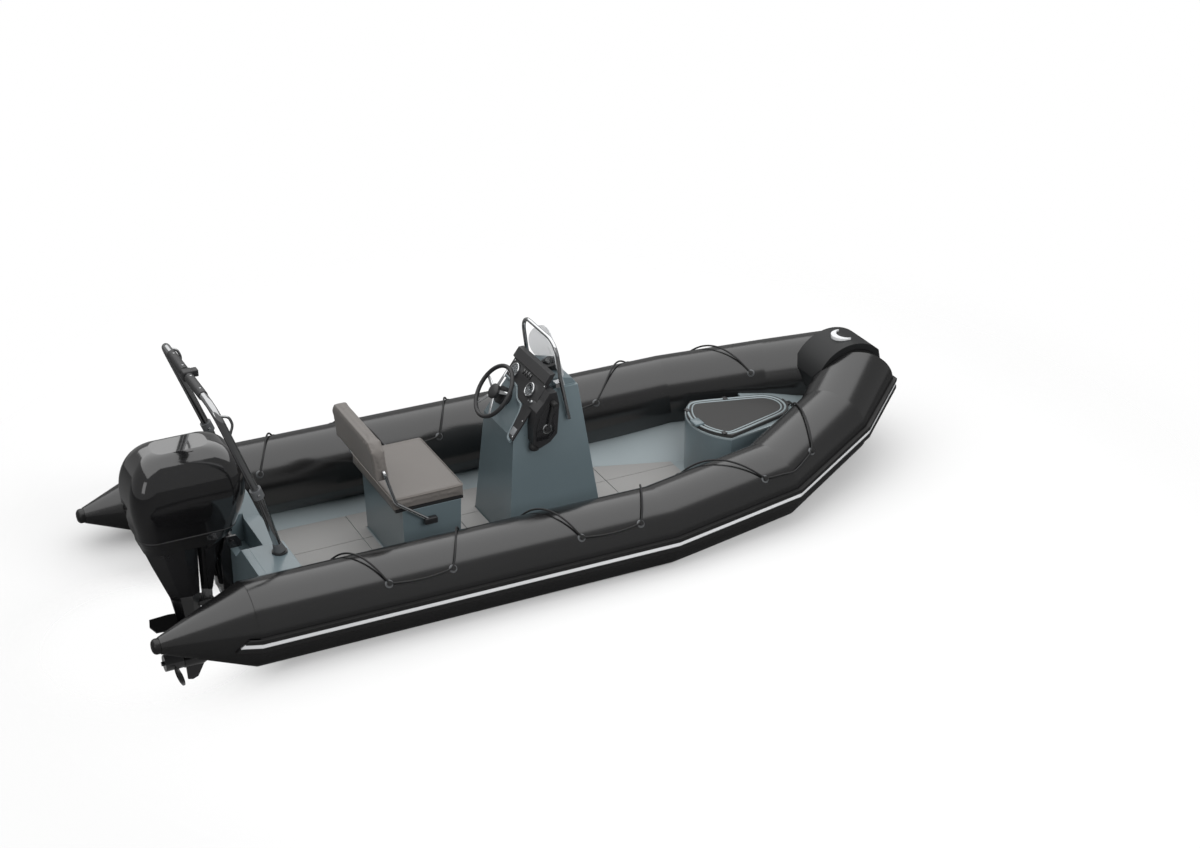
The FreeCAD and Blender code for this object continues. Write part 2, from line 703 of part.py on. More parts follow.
# ---------------------------------------------------------------- console
DASH_RUN = Vec(CONSOLE_KNEE_X - CONSOLE_DASH_X, 0, CONSOLE_KNEE_Z - CONSOLE_DASH_Z).normalize()
DASH_NORMAL = Vec(DASH_RUN.z, 0, -DASH_RUN.x)
DASH_TOP = Vec(CONSOLE_DASH_X, 0, CONSOLE_DASH_Z)
HOOD_HALF_W = CONSOLE_TOP_HALF_W - 25.0


def dash_point(down, y, out):
    """Point given by its distance down the dash, from the centreline and off the face."""
    return DASH_TOP + DASH_RUN * down + Vec(0, y, 0) + DASH_NORMAL * out


def console():
    """Console body: sloping dash, shoulders and a flared foot."""
    levels = [
        (SOLE_Z, CONSOLE_FLOOR_REAR_X, CONSOLE_FLOOR_FRONT_X, CONSOLE_FOOT_HALF_W),
        (CONSOLE_SHOULDER_Z, CONSOLE_KNEE_X + 20, CONSOLE_FRONT_X, CONSOLE_TOP_HALF_W),
    ]
    wires = []
    for z, rear, front, half in levels:
        corners = [Vec(rear, -half, z), Vec(front, -half, z), Vec(front, half, z),
                   Vec(rear, half, z)]
        wires.append(Part.makePolygon(corners + [corners[0]]))
    body = loft(wires)
    hood = prism_xz([(CONSOLE_KNEE_X + 20, CONSOLE_SHOULDER_Z - 1),
                     (CONSOLE_FRONT_X, CONSOLE_SHOULDER_Z - 1),
                     (CONSOLE_TOP_FRONT_X, CONSOLE_SHOULDER_Z + 40),
                     (CONSOLE_DASH_X + 60, CONSOLE_DASH_Z), (CONSOLE_DASH_X, CONSOLE_DASH_Z),
                     (CONSOLE_KNEE_X + 20, CONSOLE_DASH_Z)],
                    -HOOD_HALF_W, HOOD_HALF_W)
    solid = fuse([body, hood])
    above_dash = half_space(DASH_TOP, DASH_NORMAL)
    return solid.cut(above_dash)


DASH_T = 10.0


def dash_panel():
    """Dark fascia over the dash, with its tongue on the starboard side."""
    half = CONSOLE_TOP_HALF_W + DASH_OVERHANG
    outline = [(-18, half), (150, half), (150, 40), (215, -40), (215, -120), (420, -150),
               (435, -half), (-18, -half)]
    low = [dash_point(down, y, GAP) for down, y in outline]
    return polygon_face(low).extrude(DASH_NORMAL * DASH_T)


def dash_brow():
    """Dark box section along the upper edge of the dash."""
    half = CONSOLE_TOP_HALF_W + DASH_OVERHANG
    profile = [(-18, GAP + DASH_T), (34, GAP + DASH_T), (26, 30), (-40, 30), (-60, 4), (-18, GAP)]
    points = [dash_point(down, -half, out) for down, out in profile]
    return polygon_face(points).extrude(Vec(0, 2 * half, 0)).cut(console())


GAUGE_R = 44.0
GAUGE_PLACES = [(92.0, 150.0), (120.0, -110.0)]


def gauges():
    """Two round instruments on the fascia."""
    solids = []
    for down, y in GAUGE_PLACES:
        base = dash_point(down, y, DASH_T + 2 * GAP)
        solids.append(Part.makeCylinder(GAUGE_R, 9, base, DASH_NORMAL))
    return Part.makeCompound(solids)


def compass():
    """Domed compass on the hood."""
    centre = Vec(CONSOLE_DASH_X + 105, -20, CONSOLE_DASH_Z - 20)
    foot = Part.makeCylinder(52, 46, centre, Vec(-0.25, 0, 1))
    dome = Part.makeSphere(40, centre + Vec(-10, 0, 44))
    return fuse([foot, dome]).cut(console())


SCREEN_R = 300.0
SCREEN_T = 5.0


def windscreen():
    """Curved clear screen that leans aft."""
    axis_base = Vec(CONSOLE_TOP_FRONT_X - SCREEN_R + 22, 0, 860)
    lean = Vec(-0.3, 0, 1)
    outer = Part.makeCylinder(SCREEN_R, 460, axis_base, lean)
    inner = Part.makeCylinder(SCREEN_R - SCREEN_T, 460, axis_base, lean)
    half = CONSOLE_TOP_HALF_W - 14
    port, starboard = Vec(-400, half, 980), Vec(-400, -half, 980)
    arch = [
        Part.LineSegment(Vec(-400, -half, 880), Vec(-400, half, 880)).toShape(),
        Part.LineSegment(Vec(-400, half, 880), port).toShape(),
        Part.Arc(port, Vec(-400, 0, 1250), starboard).toShape(),
        Part.LineSegment(starboard, Vec(-400, -half, 880)).toShape(),
    ]
    window = Part.Face(Part.Wire(arch)).extrude(Vec(900, 0, 0))
    front = box((CONSOLE_DASH_X + 20, 700), (-400, 400), (800, 1400))
    return outer.cut(inner).common(window).common(front).cut(console())


RAIL_FOOT_X = 218.0
RAIL_FOOT_Z = 720.0


def rail_shape():
    """Corner points and bend radii of the rail."""
    half = [(RAIL_FOOT_X, RAIL_Y, RAIL_FOOT_Z), (160.0, RAIL_Y, 1010.0),
            (132.0, RAIL_Y, RAIL_TOP_Z)]
    points = half + mirrored(list(reversed(half)))
    return points, [400.0, 110.0, 110.0, 400.0]


RAIL_SHAPE = rail_shape()


def console_half_width(z):
    """Half width of the console body at a height."""
    share = (z - SOLE_Z) / (CONSOLE_SHOULDER_Z - SOLE_Z)
    return CONSOLE_FOOT_HALF_W + share * (CONSOLE_TOP_HALF_W - CONSOLE_FOOT_HALF_W)


def console_rail():
    """Grab rail that arches over the dash and runs down both sides."""
    return bent_tube(*RAIL_SHAPE, RAIL_R)


def rail_feet():
    """Feet that hold the rail's ends to the console sides."""
    wall_y = console_half_width(RAIL_FOOT_Z - RAIL_R) + GAP
    lower = rod((RAIL_FOOT_X, wall_y, RAIL_FOOT_Z + 18), (RAIL_FOOT_X, RAIL_Y, RAIL_FOOT_Z + 18), 11)
    upper = box((CONSOLE_DASH_X + 30, 182.0), (HOOD_HALF_W + GAP, RAIL_Y), (950.0, 980.0))
    space = bent_tube(*RAIL_SHAPE, RAIL_R + GAP)
    return Part.makeCompound([both_sides(solid.cut(space)) for solid in (lower, upper)])


THROTTLE_FACE_Y = 305.0


def throttle_box():
    """Control box on the starboard side of the console."""
    outline = [(60.0, 952.0), (20.0, 895.0), (-32.0, 839.0), (-55.0, 735.0), (-55.0, 630.0),
               (-12.0, 590.0), (60.0, 620.0), (108.0, 670.0), (125.0, 868.0), (108.0, 952.0)]
    body = prism_xz(outline, -THROTTLE_FACE_Y, -200)
    return body.cut([console(), dash_panel(), dash_brow()])


def throttle_lever():
    """Control lever, held at rest."""
    arm_y = -THROTTLE_FACE_Y - 24
    stem = rod((36.0, -THROTTLE_FACE_Y - GAP, 720.0), (36.0, arm_y - 3, 720.0), 18)
    arm = rod((36.0, arm_y, 720.0), (76.0, arm_y, 888.0), 8)
    grip = rod((76.0, arm_y - 32, 890.0), (76.0, arm_y + 20, 890.0), 15)
    return fuse([stem, arm, grip])


# ---------------------------------------------------------------- steering wheel
WHEEL_CENTRE = dash_point(WHEEL_DOWN, WHEEL_Y, WHEEL_STANDOFF)
SHAFT_R = 12.0


def helm():
    """Helm unit on the dash, with the shaft that carries the wheel."""
    base = dash_point(WHEEL_DOWN, WHEEL_Y, 0)
    body = Part.makeCylinder(HELM_R, 52, base, DASH_NORMAL)
    shaft = Part.makeCylinder(SHAFT_R, WHEEL_STANDOFF + 6, base, DASH_NORMAL)
    return fuse([body, shaft]).cut(Part.makeCompound([console(), dash_panel()]))


def wheel_rim():
    return Part.makeTorus(WHEEL_R - WHEEL_RIM_R, WHEEL_RIM_R, WHEEL_CENTRE, DASH_NORMAL)


def wheel_hub():
    """Hub cup with five spokes."""
    cup = Part.makeCylinder(WHEEL_HUB_R, 44, WHEEL_CENTRE - DASH_NORMAL * 26, DASH_NORMAL)
    bore = Part.makeCylinder(SHAFT_R + GAP, 34, WHEEL_CENTRE - DASH_NORMAL * 27, DASH_NORMAL)
    solids = [cup]
    across = Vec(0, 1, 0)
    for index in range(5):
        turn = math.radians(90 + 72 * index)
        ray = across * math.cos(turn) - DASH_RUN * math.sin(turn)
        start = WHEEL_CENTRE + ray * (WHEEL_HUB_R - 6)
        solids.append(rod(start, WHEEL_CENTRE + ray * (WHEEL_R - WHEEL_RIM_R), 8))
    rim = Part.makeTorus(WHEEL_R - WHEEL_RIM_R, WHEEL_RIM_R, WHEEL_CENTRE, DASH_NORMAL)
    return fuse(solids).cut(bore).cut(rim)


# ---------------------------------------------------------------- roll bar
def grab_bar():
    """Thin bow in front of the port leg, below the corner, which makes a long eye."""
    low, high = Vec(*ROLL_BAR_POINTS[1]), Vec(*ROLL_BAR_POINTS[2])
    run = (high - low).normalize()
    across = Vec(run.z, 0, -run.x).normalize() * (ROLL_BAR_R + GRAB_BAR_R + 24)
    end = high - run * 48
    start = end - run * 172
    corners = [start, start + run * 72 + across, end - run * 42 + across, end]
    return bent_tube([tuple(corner) for corner in corners], [60.0, 40.0], GRAB_BAR_R)


def roll_bar():
    """Bent stainless arch over the stern."""
    points = ROLL_BAR_POINTS + mirrored(list(reversed(ROLL_BAR_POINTS)))
    bends = ROLL_BAR_BENDS + list(reversed(ROLL_BAR_BENDS))
    bow = grab_bar()
    return fuse([bent_tube(points, bends, ROLL_BAR_R), bow, mirror_y(bow)])


def roll_bar_feet():
    """Round flanges under the legs."""
    x, y, z = ROLL_BAR_POINTS[0]
    flange = Part.makeCylinder(46, z - QUARTER_Z - GAP, Vec(x, y, QUARTER_Z + GAP))
    return both_sides(flange.cut(roll_bar()))


def roll_bar_clamps():
    """Clamp blocks on the legs where the arch folds."""
    bend, upper = Vec(*ROLL_BAR_POINTS[1]), Vec(*ROLL_BAR_POINTS[2])
    run = (upper - bend).normalize()
    start = bend + run * 24
    block = Part.makeCylinder(ROLL_BAR_R + 11, 62, start, run)
    bore = Part.makeCylinder(ROLL_BAR_R + GAP, 200, start - run * 60, run)
    return both_sides(block.cut(bore))


# ---------------------------------------------------------------- engine mount
BRACKET_Y = 88.0
BRACKET_T = 16.0


def stern_bracket():
    """Clamp plates on the transom, with the tilt tube through them."""
    outline = [(TRANSOM_AFT_X - GAP, -90.0), (TRANSOM_AFT_X - GAP, TRANSOM_NOTCH_Z + GAP),
               (TRANSOM_FRONT_X + 26, TRANSOM_NOTCH_Z + GAP),
               (TRANSOM_FRONT_X + 26, TRANSOM_NOTCH_Z + 34),
               (TILT_X + 30, TILT_Z + 32), (TILT_X - 30, TILT_Z + 32),
               (TRANSOM_AFT_X - 62, 250.0), (TRANSOM_AFT_X - 58, -60.0),
               (TRANSOM_AFT_X - 40, -90.0)]
    plate = prism_xz(outline, BRACKET_Y, BRACKET_Y + BRACKET_T)
    tube = rod((TILT_X, -BRACKET_Y - 40, TILT_Z), (TILT_X, BRACKET_Y + 40, TILT_Z), TILT_TUBE_R)
    low_pin = rod((RAM_LOW[0], -BRACKET_Y - 8, RAM_LOW[1]),
                  (RAM_LOW[0], BRACKET_Y + 8, RAM_LOW[1]), 11)
    return fuse([plate, mirror_y(plate), tube, low_pin])


RAM_RUN = Vec(RAM_EYE[0] - RAM_LOW[0], 0, RAM_EYE[1] - RAM_LOW[1]).normalize()
RAM_BARREL_LENGTH = 176.0


def ram_point(along):
    return Vec(RAM_LOW[0], 0, RAM_LOW[1]) + RAM_RUN * along


def tilt_barrel():
    """Barrel of the tilt ram, held by its lower pin."""
    eye = rod((RAM_LOW[0], -18, RAM_LOW[1]), (RAM_LOW[0], 18, RAM_LOW[1]), 21)
    barrel = Part.makeCylinder(RAM_BARREL_R, RAM_BARREL_LENGTH + 14, ram_point(14), RAM_RUN)
    bore = Part.makeCylinder(RAM_ROD_R + GAP, RAM_BARREL_LENGTH + 40, ram_point(34), RAM_RUN)
    pin_hole = rod((RAM_LOW[0], -40, RAM_LOW[1]), (RAM_LOW[0], 40, RAM_LOW[1]), 11 + GAP)
    return fuse([eye, barrel]).cut([bore, pin_hole])


def tilt_rod():
    """Polished rod of the tilt ram, with its open eye."""
    stem = Part.makeCylinder(RAM_ROD_R, 208, ram_point(40), RAM_RUN)
    eye_middle = ram_point(258)
    eye = rod(eye_middle - Vec(0, 16, 0), eye_middle + Vec(0, 16, 0), 17)
    hole = rod(eye_middle - Vec(0, 30, 0), eye_middle + Vec(0, 30, 0), 10)
    return fuse([stem, eye]).cut(hole)


CHEEK_Y = 44.0
CHEEK_T = 14.0


def swivel_bracket():
    """Bracket that tilts on the tube and holds the steering pin."""
    sleeve = rod((TILT_X, -BRACKET_Y + 6, TILT_Z), (TILT_X, BRACKET_Y - 6, TILT_Z), 27)
    housing = rod((KING_X, 0, KING_LOW_Z), (KING_X, 0, KING_HIGH_Z), KING_HOUSING_R)
    outline = [(TILT_X + 8, TILT_Z + 20), (TILT_X - 20, TILT_Z - 24), (-2040.0, 180.0),
               (KING_X + 30, 20.0), (KING_X + 14, KING_LOW_Z + 20), (KING_X, KING_LOW_Z + 20),
               (KING_X, KING_HIGH_Z - 30), (KING_X + 40, KING_HIGH_Z - 30)]
    cheek = prism_xz(outline, CHEEK_Y - CHEEK_T, CHEEK_Y)
    bridge = prism_xz([(TILT_X - 20, TILT_Z + 12), (TILT_X - 20, TILT_Z - 10),
                       (KING_X + 20, KING_HIGH_Z - 56), (KING_X + 20, KING_HIGH_Z - 30)],
                      -CHEEK_Y, CHEEK_Y)
    body = fuse([sleeve, housing, cheek, mirror_y(cheek), bridge])
    bores = [rod((TILT_X, -200, TILT_Z), (TILT_X, 200, TILT_Z), TILT_TUBE_R + GAP),
             rod((KING_X, 0, -300), (KING_X, 0, 500), KING_R + GAP)]
    return body.cut(bores)


def steering_arm():
    """Steering pin with the yokes above and below the swivel bracket."""
    pin = rod((KING_X, 0, KING_LOW_Z - 30), (KING_X, 0, KING_HIGH_Z + 24), KING_R)
    upper = box((KING_X - 90, KING_X + 34), (-52, 52), (KING_HIGH_Z + 6, KING_HIGH_Z + 34))
    lower = box((KING_X - 66, KING_X + 30), (-48, 48), (KING_LOW_Z - 38, KING_LOW_Z - 6))
    return fuse([pin, upper, lower])


# ---------------------------------------------------------------- outboard engine
# upper cowl: z, rear x, front x, half width, corner radius
COWL_LEVELS = [
    (470.0, -2500.0, -1915.0, 196.0, 100.0),
    (640.0, -2528.0, -1852.0, 224.0, 118.0),
    (810.0, -2518.0, -1846.0, 222.0, 122.0),
    (925.0, -2462.0, -1900.0, 178.0, 108.0),
    (988.0, -2352.0, -2020.0, 92.0, 62.0),
]
# lower cowl: z, rear x, front x, half width, corner radius
PAN_LEVELS = [
    (470.0 - GAP, -2500.0, -1915.0, 196.0, 100.0),
    (410.0, -2480.0, -1956.0, 182.0, 92.0),
    (374.0, -2476.0, -2004.0, 170.0, 86.0),
]


def level_wire(level, inset=0.0):
    z, rear, front, half, radius = level
    return rounded_outline((front - rear) / 2 - inset, half - inset, radius - inset,
                           (front + rear) / 2, z)


def cowl_upper():
    """Engine hood, hollow and open below."""
    outer = loft([level_wire(level) for level in COWL_LEVELS], ruled=False)
    lower_levels = COWL_LEVELS[:-1]
    inner = loft([level_wire(level, COWL_WALL) for level in lower_levels])
    return outer.cut(inner)


def cowl_lower():
    return loft([level_wire(level) for level in PAN_LEVELS])


def powerhead():
    """Engine block under the hood, as one plain block."""
    return box((-2430.0, -2000.0), (-150.0, 150.0), (470.0, 860.0))


# leg: z, rear x, front x, half width
LEG_LEVELS = [
    (374.0 - GAP, -2468.0, -2154.0, 156.0),
    (200.0, -2410.0, -2154.0, 112.0),
    (-30.0, -2325.0, -2156.0, 72.0),
    (CAVITATION_Z + 9, -2298.0, -2158.0, 48.0),
]


def midsection():
    """Leg between the cowl and the gearcase, with the forward mounting yokes' seat."""
    wires = []
    for z, rear, front, half in LEG_LEVELS:
        taper = (front - rear) * 0.3
        points = [Vec(front, -half * 0.6, z), Vec(front - taper, -half, z),
                  Vec(rear + taper, -half * 0.85, z), Vec(rear, -half * 0.2, z),
                  Vec(rear, half * 0.2, z), Vec(rear + taper, half * 0.85, z),
                  Vec(front - taper, half, z), Vec(front, half * 0.6, z)]
        wires.append(Part.makePolygon(points + [points[0]]))
    return loft(wires).cut(Part.makeCompound([steering_arm(), swivel_bracket()]))


TORPEDO_R = 56.0
TORPEDO_NOSE_X = KING_X + 25
TORPEDO_END_X = KING_X - 190


def foil(z, rear, front, half):
    """Pointed oval section of the lower leg."""
    middle = front - (front - rear) * 0.38
    edges = [Part.Arc(Vec(front, 0, z), Vec(middle, half, z), Vec(rear, 0, z)).toShape(),
             Part.Arc(Vec(rear, 0, z), Vec(middle, -half, z), Vec(front, 0, z)).toShape()]
    return Part.Wire(edges)


def gearcase():
    """Lower unit: anti-ventilation plate, strut, torpedo and skeg."""
    plate_points = [(KING_X - 30, 0.0), (KING_X - 80, 62.0), (KING_X - 230, 88.0),
                    (KING_X - 350, 78.0), (KING_X - 370, 0.0)]
    outline = plate_points + [(x, -y) for x, y in reversed(plate_points[1:-1])]
    plate = prism_xy(outline, CAVITATION_Z, CAVITATION_Z + 9 - GAP)
    strut = loft([foil(CAVITATION_Z + 2, KING_X - 200, KING_X - 40, 46.0),
                  foil(PROP_Z, KING_X - 162, KING_X - 12, 34.0)])
    barrel = Part.makeCylinder(TORPEDO_R, TORPEDO_NOSE_X - 95 - TORPEDO_END_X,
                               Vec(TORPEDO_END_X, 0, PROP_Z), Vec(1, 0, 0))
    nose = Part.makeCone(TORPEDO_R, 14, 95, Vec(TORPEDO_NOSE_X - 95, 0, PROP_Z), Vec(1, 0, 0))
    shaft = rod((TORPEDO_END_X + 20, 0, PROP_Z), (PROP_X - 78, 0, PROP_Z), PROP_SHAFT_R)
    skeg_outline = [(KING_X - 40, PROP_Z - 20), (KING_X - 176, PROP_Z - 20),
                    (KING_X - 170, SKEG_Z + 8), (KING_X - 140, SKEG_Z),
                    (KING_X - 105, SKEG_Z + 14)]
    skeg = prism_xz(skeg_outline, -7, 7)
    return fuse([plate, strut, barrel, nose, shaft, skeg])


def propeller():
    """Three broad blades on a hub that turns on the shaft."""
    hub_front = TORPEDO_END_X - 3.0
    hub_rear = PROP_X - 62.0
    hub = rod((hub_rear, 0, PROP_Z), (hub_front, 0, PROP_Z), PROP_HUB_R)
    solids = [hub]
    for index in range(3):
        root = Vec(PROP_X + 4, 0, PROP_Z)
        blade = Part.makeCylinder(62, 7, Vec(-3.5, 0, 0), Vec(1, 0, 0))
        blade.translate(Vec(0, 0, PROP_R - 62))
        stalk = box((-3.5, 3.5), (-30, 30), (PROP_HUB_R - 16, PROP_R - 62))
        blade = fuse([blade, stalk])
        blade.rotate(Vec(0, 0, 0), Vec(0, 0, 1), 28)
        blade.rotate(Vec(0, 0, 0), Vec(1, 0, 0), 120 * index)
        blade.translate(root)
        solids.append(blade)
    bore = rod((PROP_X - 200, 0, PROP_Z), (hub_front + 20, 0, PROP_Z), PROP_SHAFT_R + GAP)
    return fuse(solids).cut(bore)


# ---------------------------------------------------------------- eyes
EYE_BORE_R = 11.0
EYE_R = 24.0
EYE_T = 12.0
BOW_EYE = (BOW_CORNER.x + 2.0, BOW_CORNER.z - TUBE_R - 39.0)
STERN_EYE = (-1995.0, 430.0, 60.0)


def bow_eye():
    """Towing eye on the stem."""
    x, z = BOW_EYE
    disc = rod((x, -EYE_T / 2, z), (x, EYE_T / 2, z), EYE_R)
    root = box((SECTIONS[-1][0] + GAP, x), (-EYE_T / 2, EYE_T / 2), (z - EYE_R, z + EYE_R))
    bore = rod((x, -40, z), (x, 40, z), EYE_BORE_R)
    return fuse([disc, root]).cut(bore)


def stern_eyes():
    """Towing eyes on the transom, bored upright."""
    x, y, z = STERN_EYE
    disc = rod((x, y, z - EYE_T / 2), (x, y, z + EYE_T / 2), EYE_R)
    root = box((x, TRANSOM_AFT_X - GAP), (y - EYE_R, y + EYE_R), (z - EYE_T / 2, z + EYE_T / 2))
    plate = box((TRANSOM_AFT_X - 6, TRANSOM_AFT_X - GAP), (y - 40, y + 40), (z - 30, z + 30))
    bore = rod((x, y, z - 40), (x, y, z + 40), EYE_BORE_R)
    return both_sides(fuse([disc, root, plate]).cut(bore))


# ---------------------------------------------------------------- lifelines
ROPE_R = 6.0
ROPE_LIFT = 9.0            # rope axis above the fabric at a fitting
ROPE_OUTER_TURN = 40.0     # fitting's angle above the tube's outer side
ROPE_INNER_TURN = 147.0
ROPE_BULGE = 18.0          # extra height over the top of the tube
EYELET_R = 15.0
# where the rope crosses the tube, from aft: x of the outer fitting, x of the inner one
ROPE_CROSSINGS = [
    (-1305.0, -1532.0), (-908.0, -688.0), (-77.0, -309.0),
    (320.0, 540.0), (1240.0, 819.0), (1650.0, 1842.0),
]
ROPE_MITRE_X = 1460.0      # where the foremost outer run passes the tube's corner
ROPE_MITRE_LIFT = 18.0


def on_tube(x, turn, lift):
    """Point off the port tube's fabric, at a place along the boat and an angle round it."""
    angle = math.radians(turn)
    corners = [Vec(*corner) for corner in TUBE_CORNERS]
    for start, end in zip(corners, corners[1:]):
        run = (end - start).normalize()
        out = Vec(-run.y, run.x, 0).normalize()
        rise = run.cross(out)
        off = out * math.cos(angle) + rise * math.sin(angle)
        along = (x - start.x - off.x * TUBE_R) / run.x
        if along <= (end - start).Length:
            break
    return start + run * along + off * (TUBE_R + lift)


def rope_crossing(outer_x, inner_x):
    """Points over the tube from an outer fitting to its inner one."""
    points = []
    for share in (0.0, 0.25, 0.5, 0.75, 1.0):
        turn = ROPE_OUTER_TURN + share * (ROPE_INNER_TURN - ROPE_OUTER_TURN)
        lift = ROPE_LIFT + ROPE_BULGE * abs(math.sin(math.pi * share)) ** 0.7
        points.append(on_tube(outer_x + share * (inner_x - outer_x), turn, lift))
    return points


def lifeline_points():
    points = []
    for number, (outer_x, inner_x) in enumerate(ROPE_CROSSINGS):
        crossing = rope_crossing(outer_x, inner_x)
        points += crossing if number % 2 else list(reversed(crossing))
    points.insert(-5, on_tube(ROPE_MITRE_X, ROPE_OUTER_TURN, ROPE_MITRE_LIFT))
    return points


def rope_bends(points):
    """Radius of each tangent arc, from the shorter run beside it."""
    radii = []
    for before, corner, after in zip(points, points[1:], points[2:]):
        back, ahead = before - corner, after - corner
        half_turn = (math.pi - back.getAngle(ahead)) / 2
        radii.append(0.45 * min(back.Length, ahead.Length) / math.tan(half_turn))
    return radii


def lifeline(radius=ROPE_R):
    """Port rope, held by its fittings all the way."""
    points = lifeline_points()
    return bent_tube([tuple(point) for point in points], rope_bends(points), radius)


def lifeline_fittings():
    """Eyelets that hold the ropes on the fabric."""
    rope_space = lifeline(ROPE_R + GAP)
    eyelets = []
    for outer_x, inner_x in ROPE_CROSSINGS:
        for x, turn in ((outer_x, ROPE_OUTER_TURN), (inner_x, ROPE_INNER_TURN)):
            low, high = on_tube(x, turn, GAP), on_tube(x, turn, ROPE_LIFT + ROPE_R + 3)
            eyelets.append(rod(tuple(low), tuple(high), EYELET_R).cut(rope_space))
    return both_sides(Part.makeCompound(eyelets))


NODES = {
    "hull": hull,
    "deck": lambda: DECK,
    "floor_panels": floor_panels,
    "transom": transom,
    "stern_moulding": stern_moulding,
    "tube_port": lambda: PORT_TUBE,
    "tube_starboard": lambda: STARBOARD_TUBE,
    "bow_tube": lambda: NOSE_TUBE,
    "cone_port": tail_cone,
    "cone_starboard": lambda: mirror_y(tail_cone()),
    "tip_caps": lambda: both_sides(tip_cap()),
    "strake_port": strake,
    "strake_starboard": lambda: mirror_y(strake()),
    "stripe_port": stripe,
    "stripe_starboard": lambda: mirror_y(stripe()),
    "bow_step": bow_step,
    "bow_handle": bow_handle,
    "bow_eye": bow_eye,
    "stern_eyes": stern_eyes,
    "lifeline_port": lifeline,
    "lifeline_starboard": lambda: mirror_y(lifeline()),
    "lifeline_fittings": lifeline_fittings,
    "bow_locker": bow_locker,
    "locker_lid": locker_lid,
    "lid_hinge": lid_hinge,
    "seat_box": seat_box,
    "seat_hinge": seat_hinge,
    "seat_lid": seat_lid,
    "seat_cushion": seat_cushion,
    "backrest": backrest,
    "backrest_arms": backrest_arms,
    "console": console,
    "dash_panel": dash_panel,
    "dash_brow": dash_brow,
    "gauges": gauges,
    "compass": compass,
    "windscreen": windscreen,
    "console_rail": console_rail,
    "rail_feet": rail_feet,
    "throttle_box": throttle_box,
    "throttle_lever": throttle_lever,
    "helm": helm,
    "wheel_rim": wheel_rim,
    "wheel_hub": wheel_hub,
    "roll_bar": roll_bar,
    "roll_bar_feet": roll_bar_feet,
    "roll_bar_clamps": roll_bar_clamps,
    "stern_bracket": stern_bracket,
    "tilt_barrel": tilt_barrel,
    "tilt_rod": tilt_rod,
    "swivel_bracket": swivel_bracket,
    "steering_arm": steering_arm,
    "cowl_upper": cowl_upper,
    "cowl_lower": cowl_lower,
    "powerhead": powerhead,
    "midsection": midsection,
    "gearcase": gearcase,
    "propeller": propeller,
}

os.makedirs("parts", exist_ok=True)
for name, build in NODES.items():
    shape = build()
    print(f"{name:18s} solids {len(shape.Solids)} valid {shape.isValid()} "
          f"litres {shape.Volume / 1e6:.3f}")
    shape.exportStep(f"parts/{name}.step")
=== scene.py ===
"""Looks of an open rigid inflatable boat with console, seat and tilting outboard engine."""

import logging
import math
from dataclasses import dataclass, field
from enum import Enum
from functools import cache
from typing import Iterable, Optional, Sequence

import bmesh
import bpy
from mathutils import Matrix, Vector

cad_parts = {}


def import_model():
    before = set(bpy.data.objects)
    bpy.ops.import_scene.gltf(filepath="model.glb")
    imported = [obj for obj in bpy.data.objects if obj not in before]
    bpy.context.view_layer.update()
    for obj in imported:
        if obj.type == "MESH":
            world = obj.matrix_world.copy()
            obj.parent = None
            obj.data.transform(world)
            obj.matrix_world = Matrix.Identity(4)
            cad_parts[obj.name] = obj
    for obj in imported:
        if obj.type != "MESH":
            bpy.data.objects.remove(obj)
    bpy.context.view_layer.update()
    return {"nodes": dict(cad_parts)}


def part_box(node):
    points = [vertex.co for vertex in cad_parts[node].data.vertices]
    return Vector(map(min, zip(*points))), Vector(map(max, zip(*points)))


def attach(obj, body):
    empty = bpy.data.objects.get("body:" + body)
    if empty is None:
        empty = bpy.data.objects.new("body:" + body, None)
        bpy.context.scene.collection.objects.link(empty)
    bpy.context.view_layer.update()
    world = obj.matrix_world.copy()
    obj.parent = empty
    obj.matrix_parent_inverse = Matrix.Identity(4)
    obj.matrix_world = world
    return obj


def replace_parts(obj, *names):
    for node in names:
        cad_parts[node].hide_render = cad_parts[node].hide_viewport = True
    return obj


logging.basicConfig(level=logging.INFO, format="%(levelname)s %(message)s")
LOG = logging.getLogger("boat")

Point = tuple[float, float, float]
Pair = tuple[float, float]

UP: Point = (0.0, 0.0, 1.0)
TO_PORT: Point = (0.0, 1.0, 0.0)
TO_STARBOARD: Point = (0.0, -1.0, 0.0)


class Body(Enum):
    """The bodies that carry the scene's own pieces."""

    HULL = "hull"
    ENGINE = "engine"
    WHEEL = "steering_wheel"
    LOCKER_LID = "locker_lid"
    SEAT_LID = "seat_lid"
    BACKREST = "backrest"


class Side(Enum):
    """Port is towards +Y and starboard towards -Y."""

    PORT = 1
    STARBOARD = -1


class Socket(Enum):
    """Kinds of socket on a shader node group."""

    VALUE = "NodeSocketFloat"
    COLOUR = "NodeSocketColor"
    VECTOR = "NodeSocketVector"


# ---------------------------------------------------------------- shader effects


def add_node(tree: bpy.types.NodeTree, kind: str, inputs: Optional[dict] = None,
             **options: object) -> bpy.types.Node:
    """Adds one shader node.

    Args:
        tree: tree that it joins.
        kind: its type, without the ShaderNode in front.
        inputs: number, colour or source socket by the input's name or place.
        options: the node's own settings, made before its inputs are filled.

    Returns:
        The node.
    """
    made = tree.nodes.new(f"ShaderNode{kind}")
    for option, value in options.items():
        setattr(made, option, value)
    for socket, value in (inputs or {}).items():
        if isinstance(value, bpy.types.NodeSocket):
            tree.links.new(value, made.inputs[socket])
        else:
            made.inputs[socket].default_value = value
    return made


def calculate(tree: bpy.types.NodeTree, operation: str, *terms: object) -> bpy.types.NodeSocket:
    """Adds a Math node on numbers or sockets and gives its result."""
    return add_node(tree, "Math", dict(enumerate(terms)), operation=operation).outputs[0]


